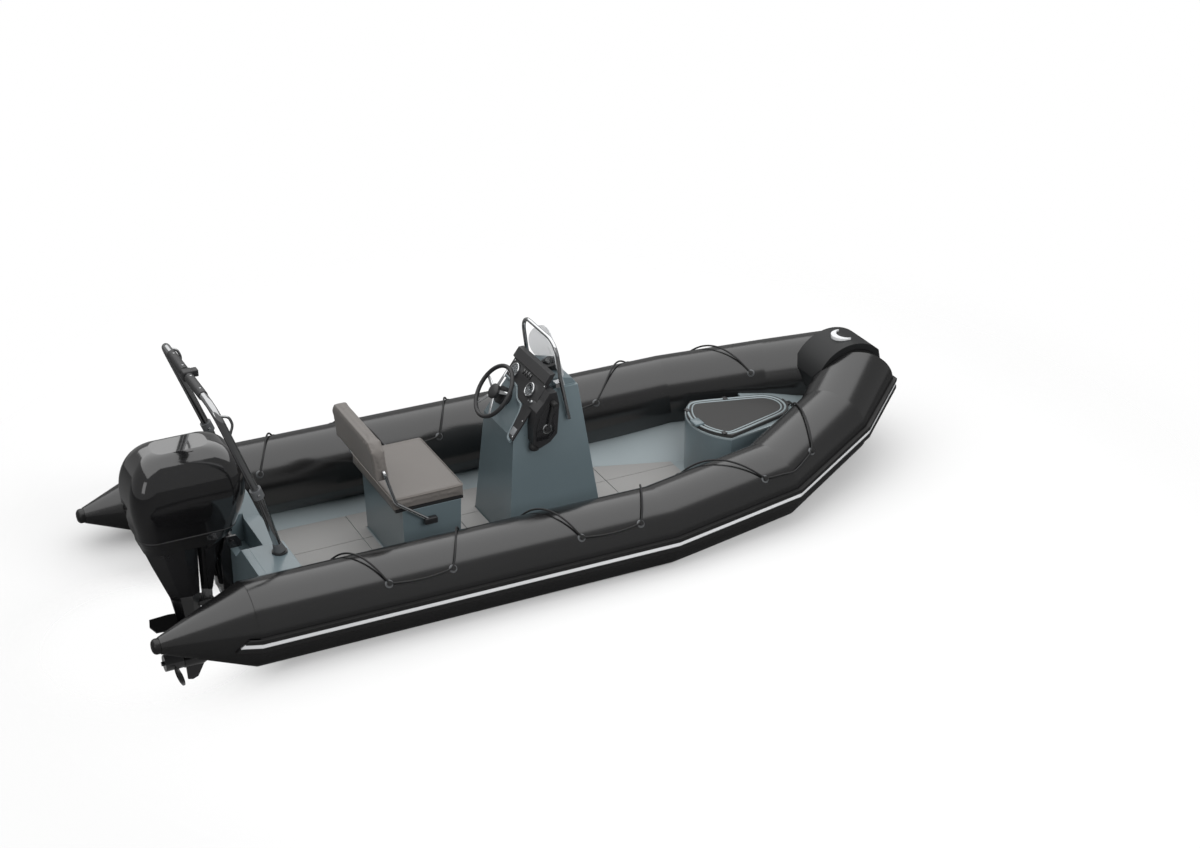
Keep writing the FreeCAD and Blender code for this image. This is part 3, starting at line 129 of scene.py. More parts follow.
class Effects:
    """Shader node groups that several finishes share, each built once."""

    FINE_DETAIL = 3.0
    CLOUD_DETAIL = 5.0
    EDGE_SAMPLES = 6
    EDGE_RANGE = (0.98, 0.75)
    STUD_RANGE = (0.08, 0.2)

    @staticmethod
    def group(name: str, inputs: dict, outputs: dict) -> tuple:
        """Starts a shader node group.

        Args:
            name: the group's name.
            inputs: socket kind and default by input name.
            outputs: socket kind by output name.

        Returns:
            The group's tree, the sockets that bring its inputs in, and a function that links
            its outputs by name.
        """
        tree = bpy.data.node_groups.new(name, "ShaderNodeTree")
        for label, (kind, default) in inputs.items():
            socket = tree.interface.new_socket(label, in_out="INPUT", socket_type=kind.value)
            socket.default_value = default
        for label, kind in outputs.items():
            tree.interface.new_socket(label, in_out="OUTPUT", socket_type=kind.value)
        start = tree.nodes.new("NodeGroupInput").outputs
        end = tree.nodes.new("NodeGroupOutput").inputs

        def close(results: dict) -> bpy.types.NodeTree:
            """Links the results to the outputs and gives the tree."""
            for label, socket in results.items():
                tree.links.new(socket, end[label])
            return tree

        return tree, start, close

    @staticmethod
    @cache
    def grain() -> bpy.types.NodeTree:
        """Fine surface grain: a height and a slow colour and gloss variation.

        Returns:
            The node group.
        """
        tree, start, close = Effects.group(
            "surface_grain",
            {
                "Colour": (Socket.COLOUR, (0.5, 0.5, 0.5, 1.0)),
                "Fine Scale": (Socket.VALUE, 400.0),
                "Cloud Scale": (Socket.VALUE, 3.0),
                "Variation": (Socket.VALUE, 0.1),
                "Roughness": (Socket.VALUE, 0.5),
                "Roughness Variation": (Socket.VALUE, 0.08),
            },
            {"Colour": Socket.COLOUR, "Roughness": Socket.VALUE, "Height": Socket.VALUE},
        )
        place = add_node(tree, "TexCoord").outputs["Object"]
        fine, cloud = (
            add_node(tree, "TexNoise", {"Vector": place, "Scale": start[scale], "Detail": detail})
            for scale, detail in (("Fine Scale", Effects.FINE_DETAIL),
                                  ("Cloud Scale", Effects.CLOUD_DETAIL))
        )
        centred = calculate(tree, "SUBTRACT", cloud.outputs["Fac"], 0.5)
        amount = calculate(tree, "MULTIPLY", centred, start["Variation"])
        level = calculate(tree, "MULTIPLY_ADD", amount, 2.0, 1.0)
        tone = add_node(tree, "HueSaturation", {"Color": start["Colour"], "Value": level})
        rough = calculate(tree, "MULTIPLY_ADD", centred, start["Roughness Variation"],
                          start["Roughness"])
        return close({"Colour": tone.outputs["Color"], "Roughness": rough,
                      "Height": fine.outputs["Fac"]})

    @staticmethod
    @cache
    def soft_edge() -> bpy.types.NodeTree:
        """Rounds sharp edges in the shading and gives a mask that is 1 along them.

        Returns:
            The node group.
        """
        tree, start, close = Effects.group(
            "soft_edge",
            {"Radius": (Socket.VALUE, 0.003)},
            {"Normal": Socket.VECTOR, "Edge": Socket.VALUE},
        )
        rounder = add_node(tree, "Bevel", {"Radius": start["Radius"]},
                           samples=Effects.EDGE_SAMPLES)
        plain = add_node(tree, "NewGeometry").outputs["True Normal"]
        alike = add_node(tree, "VectorMath", {0: rounder.outputs["Normal"], 1: plain},
                         operation="DOT_PRODUCT").outputs["Value"]
        low, high = Effects.EDGE_RANGE
        edge = add_node(tree, "MapRange", {"Value": alike, "From Min": low, "From Max": high})
        return close({"Normal": rounder.outputs["Normal"], "Edge": edge.outputs["Result"]})

    @staticmethod
    def wave(tree: bpy.types.NodeTree, along: bpy.types.NodeSocket,
             pitch: bpy.types.NodeSocket) -> bpy.types.NodeSocket:
        """A height that rises and falls again once in each pitch."""
        return calculate(tree, "PINGPONG", calculate(tree, "DIVIDE", along, pitch), 0.5)

    @staticmethod
    @cache
    def ribs() -> bpy.types.NodeTree:
        """Straight parallel ribs across one direction of the object.

        Returns:
            The node group.
        """
        tree, start, close = Effects.group(
            "ribs",
            {"Direction": (Socket.VECTOR, UP), "Pitch": (Socket.VALUE, 0.01)},
            {"Height": Socket.VALUE},
        )
        place = add_node(tree, "TexCoord").outputs["Object"]
        along = add_node(tree, "VectorMath", {0: place, 1: start["Direction"]},
                         operation="DOT_PRODUCT").outputs["Value"]
        return close({"Height": Effects.wave(tree, along, start["Pitch"])})

    @staticmethod
    @cache
    def studs() -> bpy.types.NodeTree:
        """Moulded non-slip pattern of small square studs seen from above.

        Returns:
            The node group.
        """
        tree, start, close = Effects.group(
            "studs", {"Pitch": (Socket.VALUE, 0.012)}, {"Height": Socket.VALUE}
        )
        place = add_node(tree, "TexCoord").outputs["Object"]
        parts = add_node(tree, "SeparateXYZ", {0: place}).outputs
        lower = calculate(tree, "MINIMUM",
                          *(Effects.wave(tree, parts[axis], start["Pitch"]) for axis in "XY"))
        foot, top = Effects.STUD_RANGE
        step = add_node(tree, "MapRange", {"Value": lower, "From Min": foot, "From Max": top})
        return close({"Height": step.outputs["Result"]})


# ---------------------------------------------------------------- finishes


@dataclass(frozen=True)
class Finish:
    """A surface finish with grain, soft edges and a painted highlight along sharp edges."""

    name: str
    slot: str
    colour: Point
    roughness: float = 0.5
    metallic: float = 0.0
    specular: float = 0.5
    coat: float = 0.0
    coat_roughness: float = 0.08
    sheen: float = 0.0
    fine_scale: float = 400.0
    cloud_scale: float = 3.0
    variation: float = 0.06
    roughness_variation: float = 0.12
    bump: float = 0.15
    bump_depth: float = 0.0003
    edge_radius: float = 0.003
    edge_highlight_lift: float = 0.25

    def material(self) -> bpy.types.Material:
        """The finish as a Blender material, built once."""
        return bpy.data.materials.get(self.name) or self.build()

    def build(self) -> bpy.types.Material:
        """Builds the material.

        Returns:
            A material whose colour, roughness and normal come from the shared effects.
        """
        made = bpy.data.materials.new(self.name)
        made.use_nodes = True
        tree = made.node_tree
        shader = tree.nodes["Principled BSDF"].inputs
        shader["Metallic"].default_value = self.metallic
        shader["Specular IOR Level"].default_value = self.specular
        shader["Coat Weight"].default_value = self.coat
        shader["Coat Roughness"].default_value = self.coat_roughness
        shader["Sheen Weight"].default_value = self.sheen
        grain = add_node(tree, "Group", {
            "Colour": (*self.colour, 1.0),
            "Fine Scale": self.fine_scale,
            "Cloud Scale": self.cloud_scale,
            "Variation": self.variation,
            "Roughness": self.roughness,
            "Roughness Variation": self.roughness_variation,
        }, node_tree=Effects.grain()).outputs
        relief = add_node(tree, "Bump", {"Strength": self.bump, "Distance": self.bump_depth,
                                         "Height": self.height(tree) or grain["Height"]})
        tree.links.new(grain["Colour"], shader["Base Color"])
        tree.links.new(grain["Roughness"], shader["Roughness"])
        tree.links.new(relief.outputs["Normal"], shader["Normal"])
        if self.edge_radius:
            self.soften(tree, relief)
        return made

    def soften(self, tree: bpy.types.NodeTree, relief: bpy.types.Node) -> None:
        """Rounds the edges in the shading and lightens the colour along them as a painted
        highlight.

        Args:
            tree: the material's nodes.
            relief: bump node that takes the rounded normal.
        """
        edges = add_node(tree, "Group", {"Radius": self.edge_radius},
                         node_tree=Effects.soft_edge()).outputs
        # Painted highlight: the colour is lightened along sharp edges.
        lift = tuple(min(1.0, (part + 0.01) * self.edge_highlight_lift) for part in self.colour)
        self.tint(tree, edges["Edge"], lift, blend_type="ADD")
        tree.links.new(edges["Normal"], relief.inputs["Normal"])

    @staticmethod
    def tint(tree: bpy.types.NodeTree, mask: bpy.types.NodeSocket, colour: Point,
             **options: object) -> None:
        """Mixes a colour over the shader's own where the mask is 1.

        Args:
            tree: the material's nodes.
            mask: socket of the mask.
            colour: the colour mixed in.
            options: the Mix node's own settings.
        """
        base = tree.nodes["Principled BSDF"].inputs["Base Color"]
        mixed = add_node(tree, "Mix", data_type="RGBA", **options)
        mixed.inputs["B"].default_value = (*colour, 1.0)
        tree.links.new(mask, mixed.inputs["Factor"])
        tree.links.new(base.links[0].from_socket, mixed.inputs["A"])
        tree.links.new(mixed.outputs["Result"], base)

    def height(self, tree: bpy.types.NodeTree) -> Optional[bpy.types.NodeSocket]:
        """The socket that drives the bump; a plain finish has none and uses its grain."""
        return None

    def dress(self, piece: bpy.types.Object) -> None:
        """Puts the finish on every material slot of a piece."""
        if not piece.material_slots:
            piece.data.materials.append(self.material())
        for slot in piece.material_slots:
            slot.material = self.material()


@dataclass(frozen=True)
class Ribbed(Finish):
    """Rubber or plastic with moulded ribs."""

    direction: Point = UP
    pitch: float = 0.012

    def height(self, tree: bpy.types.NodeTree) -> Optional[bpy.types.NodeSocket]:
        """Ribs instead of grain."""
        return add_node(tree, "Group", {"Direction": self.direction, "Pitch": self.pitch},
                        node_tree=Effects.ribs()).outputs["Height"]


@dataclass(frozen=True)
class Studded(Finish):
    """Moulded non-slip surface."""

    pitch: float = 0.014

    def height(self, tree: bpy.types.NodeTree) -> Optional[bpy.types.NodeSocket]:
        """Square studs instead of grain."""
        return add_node(tree, "Group", {"Pitch": self.pitch},
                        node_tree=Effects.studs()).outputs["Height"]


@dataclass(frozen=True)
class Clear(Finish):
    """Clear plastic or glass."""

    transmission: float = 1.0
    ior: float = 1.45

    def build(self) -> bpy.types.Material:
        """Adds transmission to the plain finish.

        Returns:
            The see-through material.
        """
        made = super().build()
        shader = made.node_tree.nodes["Principled BSDF"].inputs
        shader["Transmission Weight"].default_value = self.transmission
        shader["IOR"].default_value = self.ior
        return made


@dataclass(frozen=True)
class Frosted(Finish):
    """Tinted sheet that lets part of what is behind it through."""

    alpha: float = 0.6

    def build(self) -> bpy.types.Material:
        """Makes the plain finish partly see-through.

        Returns:
            The tinted material.
        """
        made = super().build()
        made.node_tree.nodes["Principled BSDF"].inputs["Alpha"].default_value = self.alpha
        return made


@dataclass(frozen=True)
class TwoTone(Finish):
    """Gelcoat whose upper faces are moulded in a lighter colour."""

    upper: Point = (0.5, 0.5, 0.5)
    level: float = 0.3
    step: float = 0.001

    def build(self) -> bpy.types.Material:
        """Mixes the lighter colour in above the level.

        Returns:
            The two-coloured material.
        """
        made = super().build()
        tree = made.node_tree
        place = add_node(tree, "TexCoord").outputs["Object"]
        above = add_node(tree, "MapRange", {
            "Value": add_node(tree, "SeparateXYZ", {0: place}).outputs["Z"],
            "From Min": self.level,
            "From Max": self.level + self.step,
        })
        self.tint(tree, above.outputs["Result"], self.upper)
        return made


GELCOAT_LOOK = {
    "slot": "gelcoat", "colour": (0.116, 0.152, 0.167), "roughness": 0.3, "coat": 0.35,
    "coat_roughness": 0.12, "fine_scale": 90.0, "cloud_scale": 2.0, "bump": 0.06,
    "bump_depth": 0.0005, "edge_radius": 0.006, "edge_highlight_lift": 0.7,
}
STEEL_LOOK = {
    "slot": "stainless", "metallic": 1.0, "fine_scale": 60.0, "cloud_scale": 8.0,
    "variation": 0.03, "roughness_variation": 0.08, "bump": 0.02, "bump_depth": 0.0002,
}


class Finishes:
    """Every finish of the boat."""

    TUBE = Finish("coated_fabric", "tube_fabric", (0.008, 0.008, 0.0082), 0.2, specular=0.8,
                  fine_scale=900.0, cloud_scale=1.6, variation=0.12, roughness_variation=0.06,
                  bump=0.1, bump_depth=0.0001, edge_radius=0.0)
    CAP = Finish("tip_rubber", "rubber_black", (0.01, 0.01, 0.01), 0.3, fine_scale=600.0,
                 bump=0.1)
    RUBBER = Ribbed("strake_rubber", "rubber_black", (0.011, 0.011, 0.011), 0.45, specular=0.4,
                    pitch=0.022, bump=0.6, bump_depth=0.0015)
    STRIPE = Finish("stripe", "stripe_grey", (0.6, 0.61, 0.62), 0.35, fine_scale=700.0,
                    bump=0.08)
    SHELL = Finish("hull_shell", "hull_gelcoat", (0.2, 0.26, 0.285), 0.3, coat=0.3,
                   fine_scale=120.0, bump=0.05, edge_radius=0.004)
    DECK = Studded("deck_gelcoat", "gelcoat_deck", (0.275, 0.317, 0.332), 0.5, pitch=0.009,
                   bump=0.12)
    GELCOAT = Finish("console_gelcoat", **GELCOAT_LOOK)
    LOCKER = TwoTone("locker_gelcoat", **GELCOAT_LOOK, upper=(0.24, 0.285, 0.3), level=0.318)
    FLOOR = Studded("floor_panel", "deck_panel", (0.3, 0.296, 0.29), 0.62, pitch=0.0085,
                    bump=0.25, bump_depth=0.0004, cloud_scale=1.2, variation=0.1)
    VINYL = Finish("seat_vinyl", "vinyl_taupe", (0.138, 0.127, 0.118), 0.5, sheen=0.05,
                   fine_scale=1100.0, cloud_scale=5.0, variation=0.1, bump=0.35,
                   bump_depth=0.0002, edge_radius=0.002, edge_highlight_lift=0.15)
    PIPING = Finish("seat_piping", "vinyl_taupe", (0.16, 0.145, 0.132), 0.45, fine_scale=900.0)
    BLACK = Finish("moulded_black", "plastic_black", (0.017, 0.017, 0.018), 0.42,
                   fine_scale=700.0, bump=0.25, edge_radius=0.002)
    GRIP = Ribbed("grip_rubber", "plastic_black", (0.012, 0.012, 0.012), 0.6, pitch=0.006,
                  direction=(0.6, 0.0, 0.8), bump=0.6, bump_depth=0.001)
    STEP = Finish("step_rubber", "plastic_black", (0.012, 0.0125, 0.013), 0.45, specular=0.3,
                  fine_scale=500.0, edge_radius=0.006, edge_highlight_lift=0.5)
    LID = Studded("lid_grip", "lid_grey", (0.036, 0.0355, 0.035), 0.55, specular=0.3,
                  pitch=0.008, bump=0.25)
    COWL = Finish("cowl_paint", "engine_gloss", (0.006, 0.006, 0.0065), 0.12, coat=1.0,
                  coat_roughness=0.02, fine_scale=30.0, cloud_scale=1.0, variation=0.05,
                  roughness_variation=0.03, bump=0.01, edge_radius=0.006)
    CASTING = Finish("engine_paint", "engine_satin", (0.008, 0.008, 0.009), 0.26, coat=0.6,
                     coat_roughness=0.1, fine_scale=200.0, bump=0.05, edge_radius=0.004)
    PROP = Finish("propeller_paint", "prop_metal", (0.06, 0.061, 0.063), 0.25, coat=0.5,
                  fine_scale=150.0, edge_radius=0.002)
    STEEL = Finish("polished_steel", colour=(0.62, 0.63, 0.64), roughness=0.11,
                   edge_radius=0.001, edge_highlight_lift=0.0, **STEEL_LOOK)
    # Darker copy of the polished steel for the roll bar: painted shade for the dark surroundings
    # that the bar reflects.
    SHADED_STEEL_COPY = Finish("brushed_steel", colour=(0.42, 0.425, 0.43), roughness=0.15,
                        edge_radius=0.0, **STEEL_LOOK)
    SLEEVE = Finish("sleeve_rubber", "rubber_black", (0.02, 0.02, 0.021), 0.42,
                    fine_scale=500.0)
    RIM = Finish("rim_gelcoat", "gelcoat_deck", (0.24, 0.285, 0.3), 0.35, fine_scale=120.0,
                 edge_radius=0.002)
    CLAMP = Finish("cast_grey", "lid_grey", (0.11, 0.115, 0.12), 0.35, metallic=0.3,
                   fine_scale=300.0)
    DIAL = Finish("dial_face", "instrument", (0.01, 0.01, 0.011), 0.2, coat=1.0,
                  fine_scale=60.0)
    SCREEN = Frosted("frosted_screen", "screen", (0.68, 0.7, 0.72), 0.28, fine_scale=200.0,
                     bump=0.02, edge_radius=0.0, alpha=0.42)
    GLASS = Clear("clear_dome", "screen", (0.75, 0.78, 0.8), 0.03, fine_scale=20.0,
                  bump=0.0, edge_highlight_lift=0.0)
    ROPE = Ribbed("rope_braid", "rubber_black", (0.01, 0.01, 0.0105), 0.6,
                  direction=(0.8, 0.35, 0.5), pitch=0.007, bump=0.8, bump_depth=0.001,
                  edge_radius=0.001)
    WHITE = Finish("white_plastic", "stripe_grey", (0.7, 0.71, 0.72), 0.3)
    PLATE = Finish("plain_plate", "lid_grey", (0.2, 0.21, 0.22), 0.3, fine_scale=300.0)


NODES_BY_FINISH: tuple[tuple[Finish, str], ...] = (
    (Finishes.SHELL, "hull"),
    (Finishes.DECK, "deck"),
    (Finishes.FLOOR, "floor_panels"),
    (Finishes.GELCOAT, "transom stern_moulding seat_box console"),
    (Finishes.LOCKER, "bow_locker"),
    (Finishes.TUBE, "tube_port tube_starboard bow_tube cone_port cone_starboard"),
    (Finishes.CAP, "tip_caps lifeline_fittings"),
    (Finishes.RUBBER, "strake_port strake_starboard"),
    (Finishes.STRIPE, "stripe_port stripe_starboard"),
    (Finishes.ROPE, "lifeline_port lifeline_starboard"),
    (Finishes.STEP, "bow_step"),
    (Finishes.WHITE, "bow_handle"),
    (Finishes.LID, "locker_lid"),
    (Finishes.VINYL, "seat_cushion backrest"),
    (Finishes.STEEL, "bow_eye stern_eyes seat_hinge backrest_arms console_rail rail_feet tilt_rod"),
    (Finishes.SHADED_STEEL_COPY, "roll_bar"),
    (Finishes.CLAMP, "roll_bar_clamps"),
    (Finishes.BLACK, "lid_hinge seat_lid dash_panel dash_brow compass throttle_box throttle_lever "
                     "helm wheel_rim wheel_hub roll_bar_feet"),
    (Finishes.DIAL, "gauges"),
    (Finishes.SCREEN, "windscreen"),
    (Finishes.COWL, "cowl_upper cowl_lower"),
    (Finishes.CASTING, "stern_bracket tilt_barrel swivel_bracket steering_arm powerhead "
                       "midsection gearcase"),
    (Finishes.PROP, "propeller"),
)
CAD_FINISHES: dict[str, Finish] = {
    node: finish for finish, nodes in NODES_BY_FINISH for node in nodes.split()
}


# ---------------------------------------------------------------- mesh tools


def unique(items: Iterable) -> list:
    """The items once each, in the order in which they first come."""
    return list(dict.fromkeys(items))


def new_object(name: str, data: bpy.types.ID) -> bpy.types.Object:
    """Adds an object to the scene.

    Args:
        name: its name.
        data: its mesh, curve, lamp or camera.

    Returns:
        The object.
    """
    made = bpy.data.objects.new(name, data)
    bpy.context.scene.collection.objects.link(made)
    return made


def placed(centre: Point, axis: Point) -> Matrix:
    """The matrix that stands a piece made along +Z at a point, along an axis."""
    turn = Vector(axis).to_track_quat("Z", "Y").to_matrix().to_4x4()
    return Matrix.Translation(centre) @ turn


def settle(piece: bpy.types.Object, finish: Finish, body: Body) -> bpy.types.Object:
    """Dresses a piece and lets it ride on its body.

    Args:
        piece: the finished object.
        finish: its finish.
        body: the body that carries it.

    Returns:
        The same object.
    """
    finish.dress(piece)
    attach(piece, body.value)
    LOG.info("piece %s on %s", piece.name, body.value)
    return piece


class Mesh:
    """A bmesh being shaped into one named piece."""

    def __init__(self, name: str, finish: Finish, body: Body, slot: Optional[str] = None) -> None:
        """Starts an empty piece.

        Args:
            name: piece name.
            finish: its finish.
            body: the body that carries it.
            slot: not used.
        """
        self.name = name
        self.finish = finish
        self.body = body
        self.slot = slot
        self.bm = bmesh.new()

    def round_edges(self, verts: list, edges: list, radius: float, segments: int) -> list:
        """Rounds some edges of a form.

        Args:
            verts: all the form's vertices.
            edges: the edges to round.
            radius: their radius.
            segments: steps round an edge.

        Returns:
            The form's vertices afterwards.
        """
        faces = bmesh.ops.bevel(self.bm, geom=edges, offset=radius, segments=segments,
                                affect="EDGES", profile=0.5, material=-1)["faces"]
        return unique([v for f in faces for v in f.verts] + [v for v in verts if v.is_valid])

    def block(self, low: Point, high: Point, bevel: float) -> None:
        """Adds a box with rounded edges.

        Args:
            low: lowest corner.
            high: highest corner.
            bevel: edge radius.
        """
        made = bmesh.ops.create_cube(self.bm, size=1.0)["verts"]
        size = [b - a for a, b in zip(low, high)]
        middle = [(a + b) / 2 for a, b in zip(low, high)]
        bmesh.ops.scale(self.bm, vec=size, verts=made)
        bmesh.ops.translate(self.bm, vec=middle, verts=made)
        edges = unique(e for v in made for e in v.link_edges)
        self.round_edges(made, edges, bevel, segments=3)

    def rod(self, start: Point, end: Point, radius: float, end_radius: Optional[float] = None,
            segments: int = 24, bevel: float = 0.0) -> None:
        """Adds a round bar or cone between two points.

        Args:
            start: centre of one end.
            end: centre of the other end.
            radius: radius at the start.
            end_radius: radius at the end, the same when left out.
            segments: sides.
            bevel: radius of the end edges.
        """
        way = Vector(end) - Vector(start)
        made = bmesh.ops.create_cone(self.bm, cap_ends=True, segments=segments, radius1=radius,
                                     radius2=radius if end_radius is None else end_radius,
                                     depth=way.length)["verts"]
        if bevel > 0:
            ends = unique(e for v in made for e in v.link_edges
                          if any(len(f.verts) > 4 for f in e.link_faces))
            made = self.round_edges(made, ends, bevel, segments=2)
        middle = (Vector(start) + Vector(end)) / 2
        bmesh.ops.transform(self.bm, matrix=placed(middle, way), verts=made)

    def lathe(self, profile: Sequence[Pair], centre: Point, axis: Point, steps: int) -> None:
        """Spins a profile of (radius, height) round an axis.

        Args:
            profile: points from one end to the other; a radius of 0 closes the end.
            centre: point on the axis at height 0.
            axis: direction of growing height.
            steps: steps of the full turn.
        """
        before = set(self.bm.verts)
        row = [self.bm.verts.new((r, 0.0, h)) for r, h in profile]
        edges = [self.bm.edges.new(pair) for pair in zip(row, row[1:])]
        bmesh.ops.spin(self.bm, geom=row + edges, cent=(0, 0, 0), axis=(0, 0, 1), dvec=(0, 0, 0),
                       angle=math.tau, steps=steps, use_merge=True, use_duplicate=False)
        made = [v for v in self.bm.verts if v not in before]
        bmesh.ops.remove_doubles(self.bm, verts=made, dist=1e-6)
        made = [v for v in self.bm.verts if v not in before]
        faces = unique(f for v in made for f in v.link_faces)
        bmesh.ops.recalc_face_normals(self.bm, faces=faces)
        bmesh.ops.transform(self.bm, matrix=placed(centre, axis), verts=made)

    def plate(self, outline: Sequence[Point], depth: Point, bevel: float) -> None:
        """Adds a flat plate from its outline, pushed along depth.

        Args:
            outline: corners of one face in order.
            depth: vector from that face to the other.
            bevel: radius of the edges.
        """
        row = [self.bm.verts.new(p) for p in outline]
        face = self.bm.faces.new(row)
        out = bmesh.ops.extrude_face_region(self.bm, geom=[face], use_keep_orig=True)["geom"]
        moved = [g for g in out if isinstance(g, bmesh.types.BMVert)]
        bmesh.ops.translate(self.bm, vec=depth, verts=moved)
        made = row + moved
        faces = unique(f for v in made for f in v.link_faces)
        bmesh.ops.recalc_face_normals(self.bm, faces=faces)
        edges = unique(e for v in made for e in v.link_edges)
        self.round_edges(made, edges, bevel, segments=2)

    def mirror_y(self) -> None:
        """Adds the other side's copy of everything made so far."""
        geom = [*self.bm.verts, *self.bm.edges, *self.bm.faces]
        copy = bmesh.ops.duplicate(self.bm, geom=geom)["geom"]
        verts = [g for g in copy if isinstance(g, bmesh.types.BMVert)]
        faces = [g for g in copy if isinstance(g, bmesh.types.BMFace)]
        bmesh.ops.scale(self.bm, vec=(1, -1, 1), verts=verts)
        bmesh.ops.reverse_faces(self.bm, faces=faces)

    def finish_piece(self, smooth_angle: float = 35.0) -> bpy.types.Object:
        """Closes the bmesh into an object that rides on its body.

        Args:
            smooth_angle: edges sharper than this many degrees stay crisp.

        Returns:
            The object.
        """
        limit = math.radians(smooth_angle)
        for face in self.bm.faces:
            face.smooth = True
        for edge in self.bm.edges:
            if len(edge.link_faces) == 2 and edge.calc_face_angle(0.0) > limit:
                edge.smooth = False
        mesh = bpy.data.meshes.new(self.name)
        self.bm.to_mesh(mesh)
        self.bm.free()
        return settle(new_object(self.name, mesh), self.finish, self.body)


def cord_curve(name: str, points: Sequence[Sequence[float]], radius: float, finish: Finish,
               body: Body, resolution: int = 8, closed: bool = False) -> bpy.types.Object:
    """A round bar or rope along a smooth NURBS line, as a mesh.

    Args:
        name: piece name.
        points: control points.
        radius: radius of the bar.
        finish: its finish.
        body: the body that carries it.
        resolution: steps between points.
        closed: whether the line closes on itself.

    Returns:
        The object.
    """
    curve = bpy.data.curves.new(name + "_line", "CURVE")
    curve.dimensions = "3D"
    spline = curve.splines.new("NURBS")
    spline.points.add(len(points) - 1)
    for place, point in zip(spline.points, points):
        place.co = (*point, 1.0)
    spline.order_u = 3
    spline.use_endpoint_u = not closed
    spline.use_cyclic_u = closed
    spline.resolution_u = resolution
    curve.bevel_depth = radius
    curve.bevel_resolution = 4
    curve.use_fill_caps = not closed
    holder = new_object(name + "_line", curve)
    bpy.context.view_layer.update()
    evaluated = holder.evaluated_get(bpy.context.evaluated_depsgraph_get())
    mesh = bpy.data.meshes.new_from_object(evaluated)
    mesh.name = name
    for face in mesh.polygons:
        face.use_smooth = True
    bpy.data.objects.remove(holder)
    return settle(new_object(name, mesh), finish, body)


# ---------------------------------------------------------------- studio


@dataclass(frozen=True)
class SoftBox:
    """A rectangular lamp."""

    name: str
    place: Point
    aim: Point
    size: Pair
    power: float
    in_reflections: bool = True

    def hang(self) -> None:
        """Adds the lamp, turned to its aim."""
        data = bpy.data.lights.new(self.name, "AREA")
        data.shape = "RECTANGLE"
        data.size, data.size_y = self.size
        data.energy = self.power
        lamp = new_object(self.name, data)
        lamp.location = self.place
        lamp.visible_glossy = self.in_reflections
        back = Vector(self.place) - Vector(self.aim)
        lamp.rotation_euler = back.to_track_quat("Z", "Y").to_euler()


@dataclass(frozen=True)
class Clearing:
    """A round part of the floor, or all round it, that the camera sees through."""

    centre: Point
    clear: float
    solid: float

    def mask(self, tree: bpy.types.NodeTree, place: bpy.types.NodeSocket) -> bpy.types.NodeSocket:
        """A value that is 1 where the floor is clear and 0 where it is solid.

        Args:
            tree: the floor material's nodes.
            place: socket that gives the place on the floor.

        Returns:
            The value's socket.
        """
        away = add_node(tree, "VectorMath", {0: place, 1: self.centre},
                        operation="DISTANCE").outputs["Value"]
        within = self.clear < self.solid
        return add_node(tree, "MapRange", {
            "Value": away,
            "From Min": min(self.clear, self.solid),
            "From Max": max(self.clear, self.solid),
            "To Min": float(within),
            "To Max": float(not within),
        }, interpolation_type="SMOOTHSTEP").outputs["Result"]


